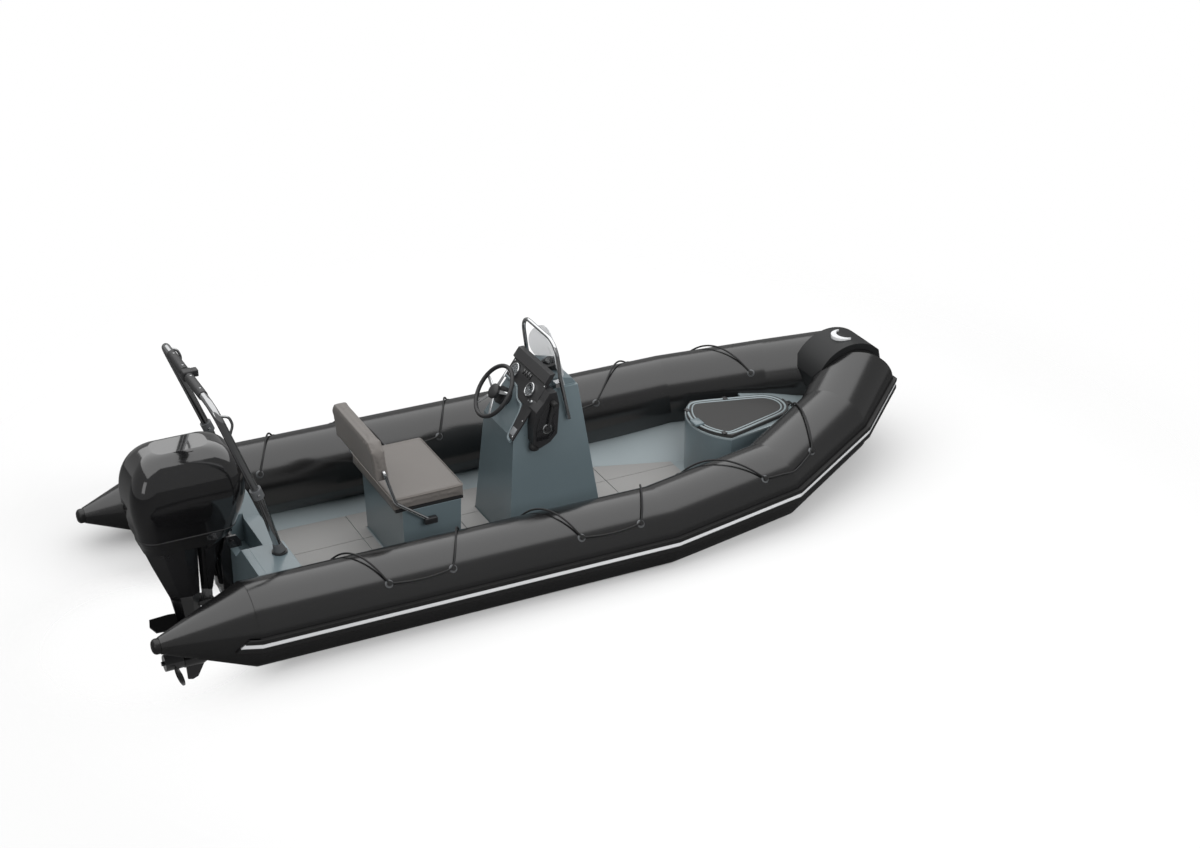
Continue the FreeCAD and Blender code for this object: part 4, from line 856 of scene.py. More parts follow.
@dataclass
class Studio:
    """Camera, soft lights and pale floor."""

    camera_place: Point = (-4.889, -10.875, 6.662)
    camera_pitch: float = 26.895
    camera_yaw: float = -26.601
    lens: float = 63.6
    sensor: float = 36.0
    view_reach: float = 200.0
    fill: float = 0.3
    gloss_fill: float = 0.3
    lamps: tuple[SoftBox, ...] = (
        SoftBox("top_box", (0.0, 2.6, 5.0), (0.0, 2.6, 0.0), (13.0, 12.4), 700.0),
        SoftBox("quarter_box", (-8.0, -4.0, 3.0), (-1.0, 0.0, 0.3), (2.0, 3.0), 30.0),
        SoftBox("side_fill", (1.5, -8.0, 5.0), (0.5, 0.0, 0.4), (6.0, 3.0), 420.0,
                in_reflections=False),
    )
    floor_reach: float = 9.0
    floor_sides: int = 64
    floor_roughness: float = 0.9
    floor_tone: float = 0.8
    # Floor colour in reflections: painted shade.
    floor_painted_shade_in_gloss: float = 0.1
    floor_clearness: float = 0.2
    backdrop: Clearing = Clearing((0.2, -0.4, 0.0), clear=5.0, solid=3.0)
    drive_leg: Clearing = Clearing((-2.55, -0.45, 0.0), clear=0.45, solid=1.0)
    well: tuple[Point, ...] = (
        (-1.965, 0.83, 0.0), (0.53, 0.83, 0.0), (1.38, 0.71, 0.0), (1.9, 0.42, 0.0),
        (2.16, 0.16, 0.0),
    )

    def build(self) -> None:
        """Makes the camera, the world, the lamps and the floor."""
        self.build_camera()
        self.build_world()
        for lamp in self.lamps:
            lamp.hang()
        self.build_floor()
        bpy.context.scene.view_settings.view_transform = "Standard"

    def build_camera(self) -> None:
        """Sets the scene's camera off the boat's starboard quarter."""
        data = bpy.data.cameras.new("camera")
        data.lens = self.lens
        data.sensor_width = self.sensor
        data.clip_end = self.view_reach
        eye = new_object("camera", data)
        eye.location = self.camera_place
        eye.rotation_euler = (math.radians(90.0 - self.camera_pitch), 0.0,
                              math.radians(self.camera_yaw))
        bpy.context.scene.camera = eye

    def build_world(self) -> None:
        """A world that is white behind the boat and softer as light."""
        world = bpy.data.worlds.new("studio")
        world.use_nodes = True
        bpy.context.scene.world = world
        tree = world.node_tree
        ray = add_node(tree, "LightPath").outputs
        seen = calculate(tree, "MAXIMUM", ray["Is Camera Ray"], ray["Is Transmission Ray"])
        gloss_share = (self.gloss_fill - self.fill) / (1.0 - self.fill)
        gloss = calculate(tree, "MULTIPLY", ray["Is Glossy Ray"], gloss_share)
        strength = add_node(tree, "MapRange", {
            "Value": calculate(tree, "MAXIMUM", seen, gloss),
            "To Min": self.fill,
            "To Max": 1.0,
        })
        sky = tree.nodes["Background"].inputs
        sky["Color"].default_value = (1.0, 1.0, 1.0, 1.0)
        tree.links.new(strength.outputs["Result"], sky["Strength"])

    def build_floor(self) -> None:
        """Lays the pale floor at the waterline, open where the hull lies in it."""
        bm = bmesh.new()
        rim = bmesh.ops.create_circle(bm, cap_ends=False, segments=self.floor_sides,
                                      radius=self.floor_reach)["verts"]
        row = [*self.well, *((x, -y, z) for x, y, z in reversed(self.well))]
        inner = [bm.verts.new(p) for p in row]
        edges = [bm.edges.new(pair) for pair in zip(inner, inner[1:] + inner[:1])]
        outer = unique(e for v in rim for e in v.link_edges)
        bmesh.ops.triangle_fill(bm, use_beauty=True, use_dissolve=False, edges=edges + outer,
                                normal=(0, 0, 1))
        mesh = bpy.data.meshes.new("floor")
        bm.to_mesh(mesh)
        bm.free()
        floor = new_object("floor", mesh)
        mesh.materials.append(self.floor_material())

    def floor_material(self) -> bpy.types.Material:
        """Pale floor that lets the camera see the drive leg under the waterline, painted dark where
        reflections see it.

        Returns:
            The material.
        """
        material = bpy.data.materials.new("pale_floor")
        material.use_nodes = True
        tree = material.node_tree
        shader = tree.nodes["Principled BSDF"]
        shader.inputs["Roughness"].default_value = self.floor_roughness
        shader.inputs["Specular IOR Level"].default_value = 0.0
        ray = add_node(tree, "LightPath").outputs
        # Reflections see the floor painted dark: painted shade in place of the shadowed floor.
        tone = add_node(tree, "Mix", {
            "Factor": ray["Is Glossy Ray"],
            "A": (*[self.floor_tone] * 3, 1.0),
            "B": (*[self.floor_painted_shade_in_gloss] * 3, 1.0),
        }, data_type="RGBA")
        tree.links.new(tone.outputs["Result"], shader.inputs["Base Color"])
        place = add_node(tree, "TexCoord").outputs["Object"]
        most = calculate(tree, "MAXIMUM", self.backdrop.mask(tree, place),
                         self.drive_leg.mask(tree, place))
        least = calculate(tree, "MAXIMUM", most, self.floor_clearness)
        share = calculate(tree, "MULTIPLY", ray["Is Camera Ray"], least)
        mixed = add_node(tree, "MixShader", {
            0: share,
            1: shader.outputs[0],
            2: add_node(tree, "BsdfTransparent").outputs[0],
        })
        tree.links.new(mixed.outputs[0], tree.nodes["Material Output"].inputs["Surface"])
        return material


# ---------------------------------------------------------------- tubes and lifelines


@dataclass
class TubeLine:
    """Centreline of one inflatable side tube, with its surface."""

    corners: tuple[Point, ...] = (
        (-2.1, 0.83, 0.2), (0.534, 0.83, 0.172), (1.406, 0.721, 0.228),
        (2.064, 0.405, 0.348), (2.376, 0.15, 0.452),
    )
    radius: float = 0.25

    def frame_at(self, index: int) -> tuple[Vector, Vector, Vector, Vector]:
        """Start, direction, outward side and upward side of one straight run.

        Args:
            index: number of the corner where the run starts.

        Returns:
            The start and the three directions.
        """
        start, end = Vector(self.corners[index]), Vector(self.corners[index + 1])
        way = (end - start).normalized()
        out = Vector((-way.y, way.x, 0.0)).normalized()
        up = way.cross(out)
        return start, way, out, -up if up.z < 0 else up

    def on_surface(self, x: float, angle: float, lift: float, side: Side) -> Vector:
        """A point on the tube.

        Args:
            x: its place along the boat.
            angle: degrees up from the outer equator and over to the inner one.
            lift: distance off the fabric.
            side: port or starboard.

        Returns:
            The point.
        """
        turn = math.radians(angle)
        for index in range(len(self.corners) - 1):
            start, way, out, up = self.frame_at(index)
            off = out * math.cos(turn) + up * math.sin(turn)
            length = (Vector(self.corners[index + 1]) - start).length
            along = (x - start.x - off.x * self.radius) / way.x
            if along <= length or index == len(self.corners) - 2:
                spot = start + way * along + off * (self.radius + lift)
                return Vector((spot.x, spot.y * side.value, spot.z))
        raise ValueError("x lies outside the tube")

    def normal(self, x: float, angle: float, side: Side) -> Vector:
        """Direction straight off the fabric at a point."""
        near = self.on_surface(x, angle, 0.0, side)
        return (self.on_surface(x, angle, 0.05, side) - near).normalized()


@dataclass
class TubeSkins:
    """Smooth skins of the inflated tubes, with a crease at each mitre."""

    line: TubeLine = field(default_factory=TubeLine)
    segments: int = 96

    def build(self) -> None:
        """Makes the side tubes and the nose tube."""
        corners = [Vector(corner) for corner in self.line.corners]
        ways = [(b - a).normalized() for a, b in zip(corners, corners[1:])]
        across = Vector(TO_STARBOARD)
        planes = [ways[0]] + [(a + b).normalized() for a, b in zip(ways, ways[1:] + [across])]
        ends = list(zip(corners, planes))
        for side in Side:
            name = side.name.lower()
            skin = Mesh(f"tube_skin_{name}", Finishes.TUBE, Body.HULL)
            for way, first, last in zip(ways, ends, ends[1:]):
                self.run(skin, way, first, last, side)
            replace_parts(skin.finish_piece(), f"tube_{name}")
        nose = Mesh("tube_skin_bow", Finishes.TUBE, Body.HULL)
        other = tuple(Vector((part.x, -part.y, part.z)) for part in ends[-1])
        self.run(nose, across, ends[-1], other, Side.PORT)
        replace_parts(nose.finish_piece(), "bow_tube")

    def run(self, mesh: Mesh, way: Vector, first: tuple[Vector, Vector],
            last: tuple[Vector, Vector], side: Side) -> None:
        """One straight length between two slanted planes.

        Args:
            mesh: piece that it joins.
            way: its direction, on the port side.
            first: centre of its first end and normal of the plane that cuts it.
            last: centre of its other end and normal of the plane that cuts it.
            side: port or starboard.
        """
        edges = []
        for centre, plane in (first, last):
            ring = bmesh.ops.create_circle(mesh.bm, cap_ends=True, segments=self.segments,
                                           radius=self.line.radius)["verts"]
            bmesh.ops.transform(mesh.bm, matrix=placed(centre, way), verts=ring)
            for vert in ring:
                vert.co += way * ((centre - vert.co).dot(plane) / way.dot(plane))
                vert.co.y *= side.value
            edges += unique(edge for vert in ring for edge in vert.link_edges)
        bmesh.ops.bridge_loops(mesh.bm, edges=edges)


@dataclass
class Lifelines:
    """Rope that zigzags over each side tube, with a patch round each eyelet."""

    line: TubeLine = field(default_factory=TubeLine)
    radius: float = 0.006
    outer_angle: float = 40.0
    inner_angle: float = 147.0
    outer: tuple[float, ...] = (-1.305, -0.908, -0.077, 0.32, 1.24, 1.65)
    inner: tuple[float, ...] = (-1.532, -0.688, -0.309, 0.54, 0.819, 1.842)
    lift: float = 0.009
    loose: float = 0.014
    mitre_x: float = 1.46
    mitre_reach: float = 0.1
    mitre_lift: float = 0.014
    sag: float = 4.0
    crossing_steps: int = 7
    run_steps: int = 6
    patch_profile: tuple[Pair, ...] = (
        (0.0152, 0.0085), (0.018, 0.007), (0.022, 0.0048), (0.025, 0.0036), (0.025, 0.0),
        (0.0152, 0.0), (0.0152, 0.0085),
    )
    patch_sink: float = 0.003

    def build(self) -> None:
        """Lays the rope and its patches on both sides."""
        for side in Side:
            self.rope(side)
            self.patches(side)

    def rope(self, side: Side) -> None:
        """The rope from its aft end to its forward end.

        Args:
            side: port or starboard.
        """
        points: list[Vector] = []
        for number, (outer_x, inner_x) in enumerate(zip(self.outer, self.inner)):
            crossing = self.crossing(outer_x, inner_x, side)
            points += crossing if number % 2 else crossing[::-1]
            if number % 2 == 0:
                points += self.run(outer_x, self.outer[number + 1], self.outer_angle, side)
            elif number + 1 < len(self.inner):
                points += self.run(inner_x, self.inner[number + 1], self.inner_angle, side)
        name = side.name.lower()
        rope = cord_curve(f"lifeline_rope_{name}", points, self.radius, Finishes.ROPE, Body.HULL,
                          resolution=5)
        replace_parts(rope, f"lifeline_{name}")

    def crossing(self, outer_x: float, inner_x: float, side: Side) -> list[Vector]:
        """Points over the tube's top, from the outer fitting to the inner one.

        Args:
            outer_x: the outer fitting's place along the boat.
            inner_x: the inner fitting's place.
            side: port or starboard.

        Returns:
            The points.
        """
        points = []
        for step in range(self.crossing_steps + 1):
            share = step / self.crossing_steps
            angle = self.outer_angle + share * (self.inner_angle - self.outer_angle)
            rise = self.lift + self.loose * math.sin(share * math.pi)
            x = outer_x + share * (inner_x - outer_x)
            points.append(self.line.on_surface(x, angle, rise, side))
        return points

    def run(self, start_x: float, end_x: float, angle: float, side: Side) -> list[Vector]:
        """Points along the tube between two fittings, with a little sag.

        Args:
            start_x: the first fitting's place along the boat.
            end_x: the second fitting's place.
            angle: their angle on the tube.
            side: port or starboard.

        Returns:
            The points.
        """
        down = -self.sag if angle == self.outer_angle else self.sag
        points = []
        for step in range(1, self.run_steps):
            share = step / self.run_steps
            x = start_x + share * (end_x - start_x)
            mitre = abs(x - self.mitre_x) < self.mitre_reach and angle == self.outer_angle
            lift = self.mitre_lift if mitre else self.lift
            turn = angle + down * math.sin(share * math.pi)
            points.append(self.line.on_surface(x, turn, lift, side))
        return points

    def patches(self, side: Side) -> None:
        """Rubber patches round the eyelets.

        Args:
            side: port or starboard.
        """
        patch = Mesh(f"lifeline_patches_{side.name.lower()}", Finishes.CLAMP, Body.HULL)
        for row, angle in ((self.outer, self.outer_angle), (self.inner, self.inner_angle)):
            for x in row:
                spot = self.line.on_surface(x, angle, -self.patch_sink, side)
                off = self.line.normal(x, angle, side)
                patch.lathe(self.patch_profile, spot, off, steps=32)
        patch.finish_piece()


@dataclass
class StrakeTails:
    """Slanted ends of the rubbing strakes, which run a little way onto the tail cones."""

    seam: Point = TubeLine.corners[0]
    radius: float = TubeLine.radius
    taper: float = 0.39
    reach_low: float = 0.135
    reach_high: float = 0.06
    half: float = 0.04
    stripe_half: float = 0.0128
    stripe_gap: float = 0.0005
    web_proud: float = 0.012
    lip_proud: float = 0.0215
    stripe_proud: float = 0.018
    sink: float = 0.012
    edge: float = 0.0012

    def build(self) -> None:
        """Makes the black ends and the light strip between them."""
        inner = self.stripe_half + self.stripe_gap
        for name, finish, bands in (
            ("strake_tails", Finishes.RUBBER, ((-self.half, self.half, self.web_proud),
                                               (-self.half, -inner, self.lip_proud),
                                               (inner, self.half, self.lip_proud))),
            ("stripe_tails", Finishes.STRIPE,
             ((-self.stripe_half, self.stripe_half, self.stripe_proud),)),
        ):
            tails = Mesh(name, finish, Body.HULL)
            for low, high, proud in bands:
                self.band(tails, low, high, proud)
            tails.mirror_y()
            tails.finish_piece()

    def band(self, mesh: Mesh, low: float, high: float, proud: float) -> None:
        """One strip on the port cone from the seam to its slanted end.

        Args:
            mesh: piece that it joins.
            low: lower edge from the strake's middle.
            high: upper edge from the strake's middle.
            proud: height of its face off the cone.
        """
        x, y, z = self.seam
        outline = []
        for height, aft in ((low, False), (low, True), (high, True), (high, False)):
            share = (height + self.half) / (2 * self.half)
            reach = self.reach_low + share * (self.reach_high - self.reach_low) if aft else 0.0
            outline.append((x - reach, y + self.radius - self.taper * reach + proud, z + height))
        mesh.plate(outline, (0.0, -proud - self.sink, 0.0), bevel=self.edge)


# ---------------------------------------------------------------- console


DASH_RUN: Point = (-0.59809, 0.0, -0.80144)
DASH_NORMAL: Point = (-0.80144, 0.0, 0.59809)


@dataclass
class Dash:
    """Sloping dash plane with its instruments and trim."""

    top: Point = (0.1, 0.0, 0.99)
    face: float = 0.0103
    gauge_places: tuple[Pair, ...] = ((0.092, 0.150), (0.120, -0.110))
    gauge_radius: float = 0.044
    ring_profile: tuple[Pair, ...] = (
        (-0.006, 0.010), (-0.005, 0.0135), (-0.001, 0.015), (0.004, 0.0135), (0.0055, 0.008),
        (0.0055, 0.0005), (-0.0005, 0.0005), (-0.006, 0.010),
    )
    ring_inset: float = 0.006
    mark_count: int = 13
    mark_first: float = -120.0
    mark_step: float = 20.0
    mark_inset: float = 0.012
    mark_half: float = 0.0035
    mark_height: float = 0.0097
    mark_radius: float = 0.0006
    needle_radii: Pair = (0.0011, 0.0004)
    needle_height: float = 0.0101
    needle_length: float = 0.028
    needle_aim: Pair = (-0.7, 0.55)
    switch_count: int = 4
    switch_first: Pair = (0.06, -0.03)
    switch_pitch: float = 0.03
    switch_size: Pair = (0.036, 0.022)
    plate_place: Pair = (0.385, -0.192)
    plate_size: Pair = (0.05, 0.055)
    key_place: Pair = (0.17, -0.19)
    key_profile: tuple[Pair, ...] = (
        (0.0, 0.012), (0.009, 0.012), (0.011, 0.010), (0.0135, 0.004), (0.0135, 0.0), (0.0, 0.0),
    )
    key_blade: tuple[Pair, ...] = (
        (0.168, -0.189), (0.168, -0.191), (0.18, -0.191), (0.18, -0.189),
    )
    key_foot: float = 0.012
    key_height: float = 0.016
    lip_route: tuple[Pair, ...] = (
        (0.158, 0.222), (0.158, 0.12), (0.158, 0.06), (0.17, 0.035), (0.215, -0.02),
        (0.226, -0.06), (0.228, -0.10), (0.26, -0.124), (0.33, -0.138), (0.40, -0.152),
        (0.436, -0.165), (0.446, -0.19), (0.446, -0.215),
    )
    lip_height: float = 0.004
    lip_radius: float = 0.011
    screw_places: tuple[Pair, ...] = (
        (0.045, 0.215), (0.13, 0.215), (0.045, -0.215), (0.2, -0.215), (0.3, -0.215),
        (0.415, -0.215), (0.045, 0.0),
    )
    screw_profile: tuple[Pair, ...] = (
        (0.0, 0.003), (0.003, 0.0028), (0.0055, 0.001), (0.0055, -0.001), (0.0, -0.001),
    )

    def at(self, down: float, y: float, out: float) -> Vector:
        """Point down the dash, across it and off its face."""
        return (Vector(self.top) + Vector(DASH_RUN) * down + Vector((0.0, y, 0.0))
                + Vector(DASH_NORMAL) * out)

    def build(self) -> None:
        """Adds instruments, switches, plate, key, lip and screws."""
        self.build_gauges()
        self.build_switches()
        self.build_key()
        lip = [self.at(down, y, self.lip_height) for down, y in self.lip_route]
        cord_curve("dash_lip", lip, self.lip_radius, Finishes.GELCOAT, Body.HULL, resolution=10)
        heads = Mesh("dash_screws", Finishes.STEEL, Body.HULL)
        for down, y in self.screw_places:
            heads.lathe(self.screw_profile, self.at(down, y, self.face), DASH_NORMAL, steps=16)
        heads.finish_piece()

    def build_gauges(self) -> None:
        """Chrome rings, dial marks, needles and lenses."""
        rings = Mesh("gauge_rings", Finishes.STEEL, Body.HULL)
        marks = Mesh("gauge_marks", Finishes.WHITE, Body.HULL)
        lenses = Mesh("gauge_lenses", Finishes.GLASS, Body.HULL)
        edge, half = self.gauge_radius - self.ring_inset, self.gauge_radius * 0.5
        ring = [(self.gauge_radius + r, height) for r, height in self.ring_profile]
        lens = [(0.0, 0.0132), (half, 0.0128), (edge, 0.0112), (edge, 0.0106), (half, 0.0118),
                (0.0, 0.0122)]
        across, down_way, normal = Vector(TO_PORT), Vector(DASH_RUN), Vector(DASH_NORMAL)
        for down, y in self.gauge_places:
            base = self.at(down, y, self.face)
            rings.lathe(ring, base, DASH_NORMAL, steps=56)
            lenses.lathe(lens, base, DASH_NORMAL, steps=40)
            for step in range(self.mark_count):
                turn = math.radians(self.mark_first + step * self.mark_step)
                ray = across * math.sin(turn) - down_way * math.cos(turn)
                middle = base + normal * self.mark_height
                middle += ray * (self.gauge_radius - self.mark_inset)
                marks.rod(middle - ray * self.mark_half, middle + ray * self.mark_half,
                          self.mark_radius, segments=8)
            pivot = base + normal * self.needle_height
            aim = across * self.needle_aim[0] + down_way * self.needle_aim[1]
            marks.rod(pivot, pivot + aim * self.needle_length, *self.needle_radii, segments=8)
        for mesh in (rings, marks, lenses):
            mesh.finish_piece()

    def tile(self, mesh: Mesh, place: Pair, size: Pair, depth: float, bevel: float) -> None:
        """A small raised plate on the dash.

        Args:
            mesh: piece that it joins.
            place: its centre, down the dash and across it.
            size: extent down and across.
            depth: its thickness.
            bevel: edge radius.
        """
        outline = [self.at(place[0] + down * size[0] / 2, place[1] + y * size[1] / 2, self.face)
                   for down, y in ((-1, -1), (-1, 1), (1, 1), (1, -1))]
        mesh.plate(outline, Vector(DASH_NORMAL) * depth, bevel)

    def build_switches(self) -> None:
        """Rocker switches and the blank plate."""
        switches = Mesh("dash_switches", Finishes.DIAL, Body.HULL)
        down, y = self.switch_first
        for step in range(self.switch_count):
            self.tile(switches, (down, y + step * self.switch_pitch), self.switch_size,
                      depth=0.006, bevel=0.0015)
        switches.finish_piece()
        plate = Mesh("dash_plate", Finishes.PLATE, Body.HULL)
        self.tile(plate, self.plate_place, self.plate_size, depth=0.003, bevel=0.001)
        plate.finish_piece()

    def build_key(self) -> None:
        """Key barrel with its key."""
        key = Mesh("key_barrel", Finishes.STEEL, Body.HULL)
        key.lathe(self.key_profile, self.at(*self.key_place, self.face), DASH_NORMAL, steps=28)
        key.plate([self.at(down, y, self.face + self.key_foot) for down, y in self.key_blade],
                  Vector(DASH_NORMAL) * self.key_height, bevel=0.0004)
        key.finish_piece()


@dataclass
class Compass:
    """Bulkhead compass on the hood."""

    base: Point = (0.205, -0.02, 0.97)
    axis: Point = (-0.2425, 0.0, 0.9701)
    ring_height: float = 0.042
    ring_profile: tuple[Pair, ...] = (
        (0.041, -0.006), (0.0525, -0.006), (0.06, 0.0), (0.062, 0.006), (0.06, 0.012),
        (0.0465, 0.018), (0.041, 0.016), (0.041, -0.006),
    )
    dome: Point = (0.195, -0.02, 1.014)
    dome_radius: float = 0.0422
    card_radius: float = 0.0402
    mark_count: int = 24
    mark_radius: float = 0.0008
    mark_heights: Pair = (0.006, 0.012)
    long_mark_every: int = 6

    def build(self) -> None:
        """Adds the ring, the card and the glass."""
        ring = Mesh("compass_ring", Finishes.BLACK, Body.HULL)
        centre = Vector(self.base) + Vector(self.axis) * self.ring_height
        ring.lathe(self.ring_profile, centre, self.axis, steps=56)
        ring.finish_piece()
        card = Mesh("compass_card", Finishes.WHITE, Body.HULL)
        for step in range(self.mark_count):
            turn = math.radians(step * 360 / self.mark_count)
            height = self.mark_heights[step % self.long_mark_every == 0]
            off = Vector((math.cos(turn), math.sin(turn), 0.0)) * self.card_radius
            spot = Vector(self.dome) + off
            card.rod(spot, spot + Vector(UP) * height, self.mark_radius, segments=6)
        card.finish_piece()
        glass = Mesh("compass_glass", Finishes.GLASS, Body.HULL)
        arc = [(self.dome_radius * math.cos(math.radians(turn)),
                self.dome_radius * math.sin(math.radians(turn))) for turn in range(0, 90, 10)]
        glass.lathe(arc + [(0.0, self.dome_radius)], self.dome, UP, steps=48)
        glass.finish_piece()


@dataclass
class ThrottleTrim:
    """Plate, boss, grip and cable boot on the engine's control box."""

    face_y: float = -0.3053
    plate_depth: float = 0.004
    plate_corners: tuple[Pair, ...] = (
        (-0.035, 0.645), (0.055, 0.645), (0.09, 0.69), (0.105, 0.84), (0.065, 0.905),
        (0.032, 0.87), (-0.012, 0.80), (-0.036, 0.72),
    )
    hub: Pair = (0.036, 0.72)
    boss_profile: tuple[Pair, ...] = (
        (0.0185, 0.0), (0.032, 0.0), (0.032, 0.006), (0.027, 0.010), (0.0185, 0.010),
        (0.0185, 0.0),
    )
    tip: Pair = (0.076, 0.89)
    grip_out: float = 0.0025
    grip_profile: tuple[Pair, ...] = (
        (0.0, 0.0), (0.012, 0.0), (0.0175, 0.004), (0.019, 0.02), (0.0175, 0.048),
        (0.012, 0.054), (0.0, 0.054),
    )
    boot: Pair = (-0.03, 0.565)
    boot_in: float = 0.05
    boot_axis: Point = (0.1, 0.0, 1.0)
    boot_profile: tuple[Pair, ...] = (
        (0.0, 0.0), (0.028, 0.0), (0.033, 0.008), (0.033, 0.03), (0.027, 0.04),
        (0.027, 0.056), (0.0, 0.056),
    )

    def build(self) -> None:
        """Adds the parts."""
        y = self.face_y
        plate = Mesh("throttle_plate", Finishes.DIAL, Body.HULL)
        corners = [(x, y, z) for x, z in self.plate_corners]
        plate.plate(corners, (0, -self.plate_depth, 0), bevel=0.0015)
        plate.finish_piece()
        for name, finish, profile, (x, z), out, axis, steps in (
            ("throttle_boss", Finishes.STEEL, self.boss_profile, self.hub, self.plate_depth,
             TO_STARBOARD, 40),
            ("throttle_grip", Finishes.GRIP, self.grip_profile, self.tip, self.grip_out,
             TO_STARBOARD, 28),
            ("throttle_cable_boot", Finishes.BLACK, self.boot_profile, self.boot, -self.boot_in,
             self.boot_axis, 32),
        ):
            part = Mesh(name, finish, Body.HULL)
            part.lathe(profile, (x, y - out, z), axis, steps)
            part.finish_piece()


@dataclass
class SteeringWheel:
    """Five-spoke wheel: dark rim and hub, bright spokes."""

    centre: Point = (-0.14005, 0.09, 0.84223)
    rim: float = 0.1715
    rim_radius: float = 0.0138
    rim_step: int = 24
    spokes: int = 5
    spoke_root: Pair = (0.036, 0.014)
    spoke_end: Pair = (0.1635, 0.0085)
    spoke_foot: float = -0.004
    spoke_depth: float = 0.006
    hub_profile: tuple[Pair, ...] = (
        (0.013, -0.026), (0.034, -0.026), (0.046, -0.018), (0.05, 0.0), (0.049, 0.008),
        (0.042, 0.014), (0.022, 0.0175), (0.0, 0.018), (0.0, 0.009), (0.0128, 0.009),
        (0.013, -0.026),
    )

    def build(self) -> None:
        """Makes rim, spokes and hub in place of the plain ones."""
        rim = Mesh("wheel_rim_cover", Finishes.BLACK, Body.WHEEL, "rubber_black")
        section = [(self.rim + self.rim_radius * math.cos(math.radians(turn)),
                    self.rim_radius * math.sin(math.radians(turn)))
                   for turn in range(0, 361, self.rim_step)]
        rim.lathe(section, self.centre, DASH_NORMAL, steps=96)
        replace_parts(rim.finish_piece(smooth_angle=60.0), "wheel_rim")
        spokes = Mesh("wheel_spokes", Finishes.STEEL, Body.WHEEL)
        for index in range(self.spokes):
            self.spoke(spokes, math.radians(90.0 + 360.0 / self.spokes * index))
        spokes_piece = spokes.finish_piece()
        hub = Mesh("wheel_hub_cap", Finishes.BLACK, Body.WHEEL)
        hub.lathe(self.hub_profile, self.centre, DASH_NORMAL, steps=56)
        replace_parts(hub.finish_piece(), "wheel_hub")
        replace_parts(spokes_piece, "wheel_hub")

    def spoke(self, mesh: Mesh, turn: float) -> None:
        """One flat spoke that narrows towards the rim.

        Args:
            mesh: piece that it joins.
            turn: its direction round the hub, in radians.
        """
        normal = Vector(DASH_NORMAL)
        ray = Vector(TO_PORT) * math.cos(turn) - Vector(DASH_RUN) * math.sin(turn)
        side = ray.cross(normal).normalized()
        centre = Vector(self.centre) + normal * self.spoke_foot
        (near, near_half), (far, far_half) = self.spoke_root, self.spoke_end
        outline = [centre + ray * reach + side * half for reach, half in (
            (near, -near_half), (far, -far_half), (far, far_half), (near, near_half))]
        mesh.plate(outline, normal * self.spoke_depth, bevel=0.0018)


# ---------------------------------------------------------------- seat


@dataclass
class Cushion:
    """Upholstered pad made from its CAD solid by a cloth simulation."""

    node: str
    body: Body
    shrink: float = 0.0035
    cap: float = 0.0035
    voxel: float = 0.005
    quick_voxel: float = 0.012
    pressure: float = 4.0
    stiffness: float = 25.0
    bending: float = 2.0
    quality: int = 4
    last_frame: int = 20
    smoothing: float = 0.5
    smoothing_rounds: int = 2
    fill: float = 0.85

    def build(self) -> None:
        """Makes the pad, a little smaller than its solid before it is blown up."""
        source = bpy.data.objects[self.node]
        mesh = source.data.copy()
        mesh.name = f"{self.node}_pad"
        bm = bmesh.new()
        bm.from_mesh(mesh)
        bmesh.ops.remove_doubles(bm, verts=bm.verts, dist=1e-5)
        bmesh.ops.recalc_face_normals(bm, faces=bm.faces)
        bm.normal_update()
        for vert in bm.verts:
            vert.co -= vert.normal * self.shrink
        bm.to_mesh(mesh)
        bm.free()
        mesh.materials.clear()
        pad = new_object(f"{self.node}_pad", mesh)
        for other in bpy.context.selected_objects:
            other.select_set(False)
        bpy.context.view_layer.objects.active = pad
        pad.select_set(True)
        remesh = pad.modifiers.new("skin", "REMESH")
        remesh.mode = "VOXEL"
        remesh.voxel_size = self.voxel
        bpy.ops.object.modifier_apply(modifier=remesh.name)
        self.inflate(pad)
        for polygon in pad.data.polygons:
            polygon.use_smooth = True
        smooth = pad.modifiers.new("smooth", "SMOOTH")
        smooth.factor = self.smoothing
        smooth.iterations = self.smoothing_rounds
        bpy.ops.object.modifier_apply(modifier=smooth.name)
        settle(pad, Finishes.VINYL, self.body)
        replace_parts(pad, self.node)

    def inflate(self, pad: bpy.types.Object) -> None:
        """Blows the pad up a little, moving no point further than the cap.

        Args:
            pad: the pad, with its skin remeshed.
        """
        start = [v.co.copy() for v in pad.data.vertices]
        cloth = pad.modifiers.new("cloth", "CLOTH")
        cloth.settings.use_pressure = True
        cloth.settings.uniform_pressure_force = self.pressure
        cloth.settings.effector_weights.gravity = 0.0
        cloth.settings.quality = self.quality
        cloth.settings.tension_stiffness = self.stiffness
        cloth.settings.compression_stiffness = self.stiffness
        cloth.settings.bending_stiffness = self.bending
        scene = bpy.context.scene
        for clock in (scene, cloth.point_cache):
            clock.frame_start, clock.frame_end = 1, self.last_frame
        for frame_number in range(1, self.last_frame + 1):
            scene.frame_set(frame_number)
        bpy.ops.object.modifier_apply(modifier=cloth.name)
        scene.frame_set(1)
        for vert, before in zip(pad.data.vertices, start):
            move = vert.co - before
            if move.length > self.cap:
                vert.co = before + move * (self.cap / move.length)


